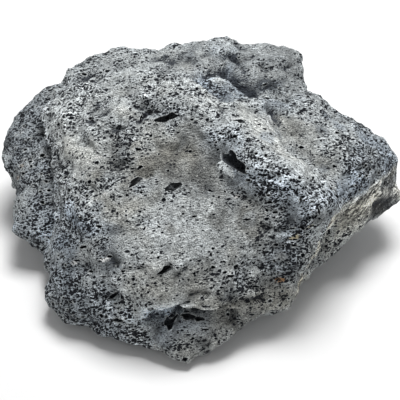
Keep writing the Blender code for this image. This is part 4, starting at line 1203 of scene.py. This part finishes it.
def mesh_from(name, points, faces, maps):
    """A mesh of points in form millimetres, moved to the footprint's middle and turned to metres."""
    mesh = bpy.data.meshes.new(name)
    mesh.from_pydata(((points - shift) * MM).tolist(), [], faces.tolist())
    mesh.update()
    for map_name, values in maps.items():
        layer = mesh.attributes.new(map_name, "FLOAT", "POINT")
        layer.data.foreach_set("value", np.broadcast_to(values, len(points)).astype(np.float32))
    return mesh


at_mouth = np.concatenate([corners for _, _, corners in cutters])
skin_layers = {"porosity": porosity, "warmth": warmth, "tone": tone, "strip": strip, "ridge": ridge,
               "cleft": cleft}
cutter_layers = {name: values[at_mouth] for name, values in skin_layers.items()}
lining = np.repeat([1.0, 1.0, LARGE_LINING], counts)
cutter_mesh = mesh_from("bubbles", cutter_points, cutter_faces, cutter_layers | {"lining": lining})
skin_mesh = mesh_from("lava_rock_skin", skin_points, skin_quads, skin_layers | {"lining": 0.0})
cutter = bpy.data.objects.new("bubbles", cutter_mesh)
bpy.context.scene.collection.objects.link(cutter)
print("maps:", [layer.name for layer in skin_mesh.attributes if layer.data_type == "FLOAT"])

# %% Cut them out
RIM_ANGLE = math.radians(42)                # a rim sharper than this stays a crisp edge
rock = bpy.data.objects.new("lava_rock_skin", skin_mesh)
bpy.context.scene.collection.objects.link(rock)
cut = rock.modifiers.new("bubbles", "BOOLEAN")
cut.object = cutter
cut.operation = "DIFFERENCE"
cut.solver = "MANIFOLD"
bpy.context.view_layer.update()
cut_mesh = bpy.data.meshes.new_from_object(rock.evaluated_get(bpy.context.evaluated_depsgraph_get()))
rock.modifiers.clear()
rock.data = cut_mesh
bpy.data.objects.remove(cutter)
cut_mesh.shade_smooth()
cut_mesh.set_sharp_from_angle(angle=RIM_ANGLE)
triangles = sum(len(face.vertices) - 2 for face in cut_mesh.polygons)
print("rock has", triangles, "triangles")

# %% [markdown]
# ## A layout for baked pictures
#
# Painting the finish onto an image needs a flat layout.  A rock has no seams,
# but the cube that its directions came from has six square faces, and that is the layout:
# each face of the mesh goes to the cube face it looks out through, top and front largest.

# %% Layout
LAYOUT = np.array([                         # left, bottom, width, height for each cube face
    [0.0, 0.42, 0.5, 0.58], [0.5, 0.42, 0.5, 0.58], [0.0, 0.0, 0.28, 0.42],
    [0.28, 0.0, 0.28, 0.42], [0.56, 0.0, 0.28, 0.42], [0.84, 0.0, 0.16, 0.42],
])
LAYOUT_MARGIN = 0.03


def lay_out(mesh, points):
    """U and V = the angles of a corner's direction across and up its cube face, over 90 degrees."""
    loops = np.empty(len(mesh.loops), np.int32)
    mesh.loops.foreach_get("vertex_index", loops)
    sizes = np.empty(len(mesh.polygons), np.int32)
    mesh.polygons.foreach_get("loop_total", sizes)
    arm = points - HEART
    arm /= np.linalg.norm(arm, axis=1)[:, None]
    starts = np.cumsum(sizes) - sizes
    middle = np.add.reduceat(arm[loops], starts, axis=0)
    side = np.repeat(np.argmax(middle @ CUBE_FACES[:, 0].T, axis=1), sizes)
    corner = arm[loops]
    outward, first, second = ((corner * CUBE_FACES[side, axis]).sum(1) for axis in range(3))
    across = 0.5 + np.arctan2(first, outward) / (math.pi / 2)
    up = 0.5 + np.arctan2(second, outward) / (math.pi / 2)
    left, bottom, width, height = LAYOUT[side].T
    inner = 1 - 2 * LAYOUT_MARGIN
    u = left + width * (LAYOUT_MARGIN + inner * across)
    v = bottom + height * (LAYOUT_MARGIN + inner * up)
    layer = mesh.uv_layers.new(name="OFBake")
    layer.data.foreach_set("uv", np.stack([u, v], 1).astype(np.float32).ravel())
    return u, v


rock_points = np.empty(len(cut_mesh.vertices) * 3)
cut_mesh.vertices.foreach_get("co", rock_points)
rock_points = rock_points.reshape(-1, 3)
u, v = lay_out(cut_mesh, rock_points / MM + shift)
print("layout spans", u.min().round(3), u.max().round(3), v.min().round(3), v.max().round(3))

# %% [markdown]
# ## Writing a material as arithmetic
#
# A shader is a sum that the renderer works out at every point.  Wiring it up one node at a
# time hides the sum, so a small class wraps a socket and gives it plus, minus and times.

# %% Sockets as numbers
class Wire:
    """A socket of a material that can be added, scaled and compared."""

    def __init__(self, finish, socket):
        self.finish = finish
        self.socket = socket

    def maths(self, operation, first, second=0.0):
        return self.finish.node("ShaderNodeMath", {"operation": operation}, {0: first, 1: second})

    def output(self, name):
        """Another output of the same node."""
        return Wire(self.finish, self.socket.node.outputs[name])

    def __add__(self, other):
        return self.maths("ADD", self, other)

    __radd__ = __add__

    def __sub__(self, other):
        return self.maths("SUBTRACT", self, other)

    def __rsub__(self, other):
        return self.maths("SUBTRACT", other, self)

    def __mul__(self, other):
        return self.maths("MULTIPLY", self, other)

    __rmul__ = __mul__

    def __truediv__(self, other):
        return self.maths("DIVIDE", self, other)

    def __rtruediv__(self, other):
        return self.maths("DIVIDE", other, self)

    def __pow__(self, other):
        return self.maths("POWER", self, other)

    def over(self, other):
        return self.maths("MAXIMUM", self, other)

    def under(self, other):
        return self.maths("MINIMUM", self, other)

    def ease(self, start, end):
        """0 at start, 1 at end, smooth between and flat beyond."""
        return self.finish.node("ShaderNodeMapRange", {"interpolation_type": "SMOOTHSTEP"},
                                {"Value": self, "From Min": start, "From Max": end})


class Finish:
    """A material being written: every node comes from node()."""

    def __init__(self, name):
        self.material = bpy.data.materials.new(name)
        self.material.use_nodes = True
        self.tree = self.material.node_tree
        self.shader = self.tree.nodes["Principled BSDF"]

    def node(self, kind, settings=None, inputs=None, output=0):
        """Adds a node, its settings first and then its sockets, and returns one output."""
        node = self.tree.nodes.new(kind)
        for key, value in (settings or {}).items():
            setattr(node, key, value)
        for key, value in (inputs or {}).items():
            self.feed(node.inputs[key], value)
        return Wire(self, node.outputs[output])

    def feed(self, socket, value):
        if isinstance(value, Wire):
            self.tree.links.new(value.socket, socket)
        elif isinstance(value, (int, float)):
            socket.default_value = value
        else:
            socket.default_value = tuple(value) + (1.0,) * (len(socket.default_value) - len(value))

    def map(self, name):
        return self.node("ShaderNodeAttribute", {"attribute_name": name}, output="Fac")

    def vector(self, operation, first, second=None, scale=None, output=0):
        inputs = {0: first}
        if second is not None:
            inputs[1] = second
        if scale is not None:
            inputs["Scale"] = scale
        return self.node("ShaderNodeVectorMath", {"operation": operation}, inputs, output)

    def blend(self, share, first, second, way="MIX"):
        """First where share is 0, second where it is 1."""
        return self.node("ShaderNodeMix", {"data_type": "RGBA", "blend_type": way},
                         {0: share, 6: first, 7: second}, 2)

    def noise(self, place, size, detail=2.0, roughness=0.5):
        """Noise from 0 to 1 whose lumps are about size millimetres."""
        return self.node("ShaderNodeTexNoise", {"noise_dimensions": "3D"},
                         {"Vector": place, "Scale": 1 / size, "Detail": detail, "Roughness": roughness})


print("material helpers ready")

# %% [markdown]
# ## Pores too small to cut
#
# A broken froth is a slice through thousands of bubbles.  A three-dimensional Voronoi
# pattern gives just that: its cell centres are scattered in space like bubbles, and where
# the rock's surface passes within a radius of one, it is inside that bubble.  The depth
# below the slice is root of radius squared less distance squared, as for any cut ball.
# Four layers, each with cells of its own size, make pores of four sizes.

# %% Pore layers
PORE_LAYERS = [                             # cell in millimetres, radius in skin, more in froth, lone radius
    (2.5, 0.02, 0.14, 0.18), (1.8, 0.05, 0.30, 0.30), (1.3, 0.08, 0.42, 0.30), (0.95, 0.12, 0.42, 0.15),
]
LEAST_CHANCE = 0.35                         # the smallest pore of a layer, of its radius
LONE_CHANCE = 0.80                          # pores with a chance above this are lone ones
PORE_RIM = 0.8                              # a pore is fully dark within this much of its size
LAYER_SHIFT = (31.0, 7.0, 3.0)              # moves each layer's cells away from those of the one before


def pores(finish, place, cell, radius, lone):
    """Share of hole and its depth in millimetres, for bubbles about cell millimetres apart.

    Radius grows with the froth, and lone is added for the largest few wherever they are.
    """
    distance = finish.node("ShaderNodeTexVoronoi", {"feature": "F1", "voronoi_dimensions": "3D"},
                           {"Vector": place, "Scale": 1 / cell, "Randomness": 1.0}, "Distance")
    chance = finish.node("ShaderNodeSeparateColor", {}, {"Color": distance.output("Color")}, "Red")
    size = radius * (LEAST_CHANCE + chance) + (chance - LONE_CHANCE).over(0.0) * (lone / (1 - LONE_CHANCE))
    hole = distance.ease(size, size * PORE_RIM)
    depth = (size * size - distance * distance).over(0.0) ** 0.5 * cell
    return hole, depth


def all_pores(finish, place, froth):
    """The mouths of every layer of pores, and how deep they are together."""
    hole, hollow = 0.0, 0.0
    for step, (cell, least, more, lone) in enumerate(PORE_LAYERS):
        shifted = finish.vector("ADD", place, (LAYER_SHIFT[0] * step, *LAYER_SHIFT[1:]))
        mouth, sunk = pores(finish, shifted, cell, least + more * froth, lone)
        hole = mouth.over(hole)
        hollow = sunk + hollow
    return hole, hollow


print(len(PORE_LAYERS), "layers of pores")

# %% [markdown]
# ## Patterns that follow the flow
#
# Lava is stretched as it flows, so its streaks, bands and pores all lie one way.  A pattern
# is stretched by shrinking the place that it reads, along the flow.  Straight streaks would
# look drawn with a ruler, so the place is first pushed about by soft noises.

# %% Patterns of the basalt
PUSHES = [(12.0, 3.0), (1.6, 0.7)]          # size and amount of the noises that bend every pattern
FLOW_PULL = 0.42                            # pores are drawn out to about 1.7 times their width
STREAK_PULL = 0.72
BAND_PULL = 0.6
LAYER_PULL = 0.85
FLAKE_PULL = 0.6
PATTERNS = {                                # size in millimetres, detail, roughness, and what becomes 0 and 1
    "patches": (8.0, 3.0, 0.5, 0.32, 0.68),
    "mottle": (5.0, 3.0, 0.6, 0.3, 0.7),
    "bands": (1.8, 2.0, 0.6, 0.36, 0.64),
    "layers": (1.5, 2.0, 0.7, 0.36, 0.64),
    "streaks": (0.8, 1.0, 0.6, 0.36, 0.64),
    "grain": (0.8, 1.0, 0.6, 0.39, 0.61),
    "crumbs": (0.65, 1.0, 0.5, 0.40, 0.60),
}


def drawn_out(finish, place, pull, direction=FLOW):
    """Place less pull times its part along a direction, which stretches any pattern that way."""
    along = finish.vector("DOT_PRODUCT", place, tuple(direction), output="Value")
    part = finish.vector("SCALE", tuple(direction), scale=along * pull)
    return finish.vector("SUBTRACT", place, part)


def bent(finish, place, size, amount):
    """Place pushed about by a noise of colours, so that no pattern runs true."""
    push = finish.noise(place, size, 1.0).output("Color")
    push = finish.vector("SUBTRACT", push, (0.5, 0.5, 0.5))
    return finish.vector("ADD", place, finish.vector("SCALE", push, scale=amount))


def pattern(finish, place, name):
    """A noise of the table, eased so that it runs from 0 to 1."""
    size, detail, roughness, low, high = PATTERNS[name]
    return finish.noise(place, size, detail, roughness).ease(low, high)


print(len(PATTERNS), "patterns")

# %% [markdown]
# ## Streaks, and layers where they show
#
# The strip and the ridge are seams of thin sheets.  There the streaks give way to layers
# that run along the seam, some of them paler than others.

# %% Streaks and layers
LAYER_CONTRAST = {"strip": 1.7, "ridge": 0.3}
LAYER_MEAN = 0.55                           # of the layer pattern, taken off so that the mean stays


def streaks_and_layers(finish, warped):
    """The streaks, turned to layers where a map shows them, and how light each layer is."""
    streaks = pattern(finish, drawn_out(finish, warped, STREAK_PULL), "streaks")
    layered = 1.0
    for name, line in (("strip", strip_line), ("ridge", ridge_line)):
        shown = finish.map(name)
        direction = (line[-1] - line[0]) / np.linalg.norm(line[-1] - line[0])
        layers = pattern(finish, drawn_out(finish, warped, LAYER_PULL, direction), "layers")
        streaks = streaks + (layers - streaks) * shown
        layered = layered + (layers - LAYER_MEAN) * shown * LAYER_CONTRAST[name]
    return streaks, layered


print("layers follow", list(LAYER_CONTRAST))

# %% [markdown]
# ## Minerals
#
# A few pale or brown crystals and flakes catch the eye.  Each is a small patch of colour
# round a sight, drawn out along the flow, with a ragged edge.  The pale leaf beside the
# cavity is painted light: the lit face of a thin sliver of rock, painted near white.  Many
# more white specks are feldspar, too small to place, and a sparse Voronoi pattern scatters them.

# %% Specks and flakes
FELDSPAR = (0.80, 0.80, 0.76)
FELDSPAR_CELL = 1.5                         # millimetres
FELDSPAR_EDGE = (0.34, 0.22)                # in cells, from the rim of a speck to where it is full
FELDSPAR_CHANCE = (0.90, 0.94)              # cells with a chance above this have a speck
FELDSPAR_SHARE = 0.6
# painted light: the lit face of a thin sliver of rock at the cavity's lower left rim, painted near white
LIT_SLIVER = (0.90, 0.96, 0.98)                   # a pale flake of several patches beside the cavity
CHIP = (0.85, 0.86, 0.85)
SPECK = (0.80, 0.80, 0.78)
MINERALS = [                                # sight, radius in millimetres, colour
    ((295, 237), 1.5, (0.75, 0.66, 0.44)), ((280, 280), 1.6, (0.42, 0.22, 0.08)),
    ((302, 114), 1.1, (0.85, 0.86, 0.86)), ((103, 260), 1.3, CHIP), ((74, 263), 1.1, CHIP),
    ((22, 166), 1.4, (0.60, 0.56, 0.50)), ((18, 178), 1.2, (0.58, 0.54, 0.48)), ((221, 162), 1.5, LIT_SLIVER),
    ((223, 166), 1.7, LIT_SLIVER), ((226, 169), 1.7, LIT_SLIVER), ((229, 172), 1.6, LIT_SLIVER), ((232, 175), 1.2, LIT_SLIVER),
    ((98, 157), 0.8, SPECK), ((134, 157), 0.8, SPECK), ((237, 196), 0.9, SPECK), ((209, 313), 0.8, SPECK),
    ((309, 227), 1.1, (0.62, 0.57, 0.45)), ((105, 194), 0.8, SPECK),
]
FLAKE_EDGE = (1.1, 0.8)                     # rim and full colour, of a flake's radius
FLAKE_RAGGED = 0.8                          # millimetres that the grain moves the rim
FLAKE_SHARE = 0.85


def with_minerals(finish, colour, place, warped, grain):
    """Colour with the scattered specks and the placed flakes on it."""
    speck = finish.node("ShaderNodeTexVoronoi", {"feature": "F1"},
                        {"Vector": warped, "Scale": 1 / FELDSPAR_CELL}, "Distance")
    chance = finish.node("ShaderNodeSeparateColor", {}, {"Color": speck.output("Color")}, "Green")
    crystal = speck.ease(*FELDSPAR_EDGE) * chance.ease(*FELDSPAR_CHANCE)
    colour = finish.blend(crystal * FELDSPAR_SHARE, colour, FELDSPAR)
    flaky = drawn_out(finish, place, FLAKE_PULL)
    rim, full = FLAKE_EDGE
    for sight, radius, shade in MINERALS:
        centre = on_skin(*sight)[1] - shift
        centre = tuple((centre - FLAKE_PULL * FLOW * (centre @ FLOW)).tolist())
        away = finish.vector("DISTANCE", flaky, centre, output="Value") + (grain - 0.5) * FLAKE_RAGGED
        colour = finish.blend(away.ease(radius * rim, radius * full) * FLAKE_SHARE, colour, shade)
    return colour


print(len(MINERALS), "flakes")

# %% [markdown]
# ## Basalt
#
# Froth is blue grey with a painted highlight on the thin walls between its pores, and skin
# is plain grey.  Both are lighter and darker in fine streaks, broader bands and grains, and
# each map has its say: the tone, with its painted light and shade, in how light a place is,
# the warmth in how brown or blue, the clefts and the linings of bubbles in how nearly black,
# because little light comes back out of them.  The small pores are painted nearly black for
# the same reason, a painted shade.

# %% Colours and shares
FROTH = (0.342, 0.370, 0.382)
SKIN = (0.346, 0.366, 0.370)
YELLOWER = (0.08, 0.01, -0.10)              # what a warmth of 1 adds to red, green and blue, as a share
# painted highlight: the thin walls between pores, as if they catch the lamp
WALL_HIGHLIGHT = (0.56, 0.59, 0.61)
# painted shade: the inside of a pore too small to cut, where little light comes back out
HOLE = (0.010, 0.012, 0.017)
LINING = (0.008, 0.011, 0.017)
CLEFT = (0.034, 0.041, 0.054)
PATCHY = 0.5                                # how far patches move the froth
TONE_CLOSES = 0.1                           # how far a pale tone closes it
FROTH_EDGE = (0.0, 1.1)
WALL_HIGHLIGHT_EDGE = (0.5, 0.9)                      # of grain times froth, where a pale wall begins and is full
WALL_HIGHLIGHT_LEAST = 0.35                           # a wall's share where the tone is 0
PLAIN_LIGHT = 0.77                          # light is this, and a share of each pattern more
LIGHTER = {"streaks": 0.60, "bands": 0.42, "grain": 0.64, "crumbs": 0.62, "mottle": 0.2}
SMOOTHED = 0.35                             # how much of the grain full froth loses
GAIN = 1.04                                 # for the whole rock
FROTH_GAIN = 0.2                            # more for full froth
LAYER_LEAST = 0.15                          # the darkest a layer gets
DEEP_BANDS = 0.5                            # how far bands and grain move the edge of a cleft
DEEP_GRAIN = 0.4
DEEP_EDGE = (0.45, 0.80)
DEEP_SHARE = 0.92
ROUGHNESS = (0.78, 0.2)                     # of the hollows of the grain, and how much more for its tops
SHINE = 0.3
# how far each pattern stands out, in millimetres
HEIGHTS = {"grain": 0.4, "streaks": 0.35, "crumbs": 0.15, "mottle": 0.8, "layers": 0.6, "pores": 0.8}
print("froth", FROTH, "and skin", SKIN)

# %% Basalt
def basalt():
    finish = Finish("vesicular_basalt")
    place = finish.node("ShaderNodeTexCoord", output="Object")
    place = finish.vector("SCALE", place, scale=1 / MM)
    warped = place
    for size, amount in PUSHES:
        warped = bent(finish, warped, size, amount)
    tone, warmth = finish.map("tone"), finish.map("warmth")
    patches = pattern(finish, place, "patches")
    froth = finish.map("porosity") + (patches - 0.5) * PATCHY - tone * TONE_CLOSES
    froth = froth.ease(*FROTH_EDGE)
    hole, hollow = all_pores(finish, drawn_out(finish, warped, FLOW_PULL), froth)
    streaks, layered = streaks_and_layers(finish, warped)
    bands = pattern(finish, drawn_out(finish, warped, BAND_PULL), "bands")
    grain, mottle, crumbs = (pattern(finish, warped, name) for name in ("grain", "mottle", "crumbs"))

    colour = finish.blend(froth, SKIN, FROTH)
    # painted highlight on the thin walls between pores, stronger where the tone is paler
    wall = (grain * froth).ease(*WALL_HIGHLIGHT_EDGE) * (WALL_HIGHLIGHT_LEAST + tone).over(0.0)
    colour = finish.blend(wall, colour, WALL_HIGHLIGHT)
    fine = LIGHTER["grain"] * (grain - 0.5) + LIGHTER["crumbs"] * (crumbs - 0.5)
    fine = fine * (1.0 - SMOOTHED * froth)
    light = PLAIN_LIGHT + LIGHTER["streaks"] * streaks + LIGHTER["bands"] * bands + fine
    light = light + (mottle - 0.5) * LIGHTER["mottle"]
    # the tone brings its painted light and shade into the colour here
    light = GAIN * light * (1.0 + tone) * (1 + FROTH_GAIN * froth) * layered.over(LAYER_LEAST)
    tints = [light * (1 + share * warmth) for share in YELLOWER]
    tint = finish.node("ShaderNodeCombineXYZ", {}, dict(enumerate(tints)))
    colour = finish.blend(1.0, colour, tint, "MULTIPLY")
    colour = with_minerals(finish, colour, place, warped, grain)
    deep = finish.map("cleft") + (bands - 0.5) * DEEP_BANDS + (grain - 0.5) * DEEP_GRAIN
    colour = finish.blend(deep.ease(*DEEP_EDGE) * DEEP_SHARE, colour, CLEFT)
    # painted shade in the pores
    colour = finish.blend(hole, colour, HOLE)
    colour = finish.blend(finish.map("lining"), colour, LINING)

    finish.feed(finish.shader.inputs["Base Color"], colour)
    finish.feed(finish.shader.inputs["Roughness"], ROUGHNESS[0] + ROUGHNESS[1] * grain)
    finish.feed(finish.shader.inputs["Specular IOR Level"], SHINE)
    relief = grain * HEIGHTS["grain"] + streaks * HEIGHTS["streaks"] + crumbs * HEIGHTS["crumbs"]
    relief = relief + mottle * HEIGHTS["mottle"] + layered * HEIGHTS["layers"] - hollow * HEIGHTS["pores"]
    bump = finish.node("ShaderNodeBump", {}, {"Strength": 1.0, "Distance": MM, "Height": relief})
    finish.feed(finish.shader.inputs["Normal"], bump)
    return finish.material


rock.data.materials.clear()
rock.data.materials.append(basalt())
print(len(rock.data.materials[0].node_tree.nodes), "nodes in the basalt")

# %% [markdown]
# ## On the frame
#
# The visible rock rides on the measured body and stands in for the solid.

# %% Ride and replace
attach(rock, "root")
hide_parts("lava_rock")
rock_low, rock_high = rock_points.min(0) / MM, rock_points.max(0) / MM
print("visible rock, mm:", rock_low.round(1), rock_high.round(1))

# %% [markdown]
# ## Bench, light and camera
#
# A pale floor, one soft lamp high overhead and a little behind, and an even pale sky, so
# that what faces up is bright and every step has a shade under it.

# %% Stage
FLOOR_SIZE = 6.0                            # metres, as the lamp is measured too
FLOOR_COLOUR = (0.86, 0.86, 0.86)
FLOOR_ROUGHNESS = 0.9

floor_mesh = bpy.data.meshes.new("floor")
half = FLOOR_SIZE / 2
floor_corners = [(-half, -half, 0), (half, -half, 0), (half, half, 0), (-half, half, 0)]
floor_mesh.from_pydata(floor_corners, [], [(0, 1, 2, 3)])
floor = bpy.data.objects.new("floor", floor_mesh)
bpy.context.scene.collection.objects.link(floor)
floor_finish = Finish("pale_floor")
floor_finish.feed(floor_finish.shader.inputs["Base Color"], FLOOR_COLOUR)
floor_finish.feed(floor_finish.shader.inputs["Roughness"], FLOOR_ROUGHNESS)
floor_mesh.materials.append(floor_finish.material)
print("floor", FLOOR_SIZE, "m wide")

# %% Sky and lamp
LAMP_PLACE = (0.08, 0.24, 0.90)
LAMP_AIM = Vector((0, 0, 0.05))
LAMP_SIZE = 0.40
LAMP_POWER = 9.5
SKY_LIGHT = 0.32

world = bpy.data.worlds.new("soft_sky")
world.use_nodes = True
world.node_tree.nodes["Background"].inputs["Color"].default_value = (1.0, 1.0, 1.0, 1.0)
world.node_tree.nodes["Background"].inputs["Strength"].default_value = SKY_LIGHT
bpy.context.scene.world = world

lamp_data = bpy.data.lights.new("softbox", "AREA")
lamp_data.energy = LAMP_POWER
lamp_data.size = LAMP_SIZE
lamp = bpy.data.objects.new("softbox", lamp_data)
lamp.location = LAMP_PLACE
lamp.rotation_euler = (LAMP_AIM - lamp.location).to_track_quat("-Z", "Y").to_euler()
bpy.context.scene.collection.objects.link(lamp)
bpy.context.scene.view_settings.view_transform = "Standard"
print("lamp of", LAMP_POWER, "W, sky of", SKY_LIGHT)

# %% Camera
CAMERA_LENS = 70.0                          # millimetres, as a camera is marked
CAMERA_SENSOR = 36.0

camera_data = bpy.data.cameras.new("camera")
camera_data.lens = CAMERA_LENS
camera_data.sensor_width = CAMERA_SENSOR
camera = bpy.data.objects.new("camera", camera_data)
turn = Matrix([ACROSS.tolist(), UPWARD.tolist(), (-LOOK).tolist()]).transposed().to_4x4()
camera.matrix_world = Matrix.Translation(Vector(((STATION - shift) * MM).tolist())) @ turn
bpy.context.scene.collection.objects.link(camera)
bpy.context.scene.camera = camera
print("camera at", [round(value, 3) for value in camera.location])

# %% Update the scene and finish
bpy.context.view_layer.update()
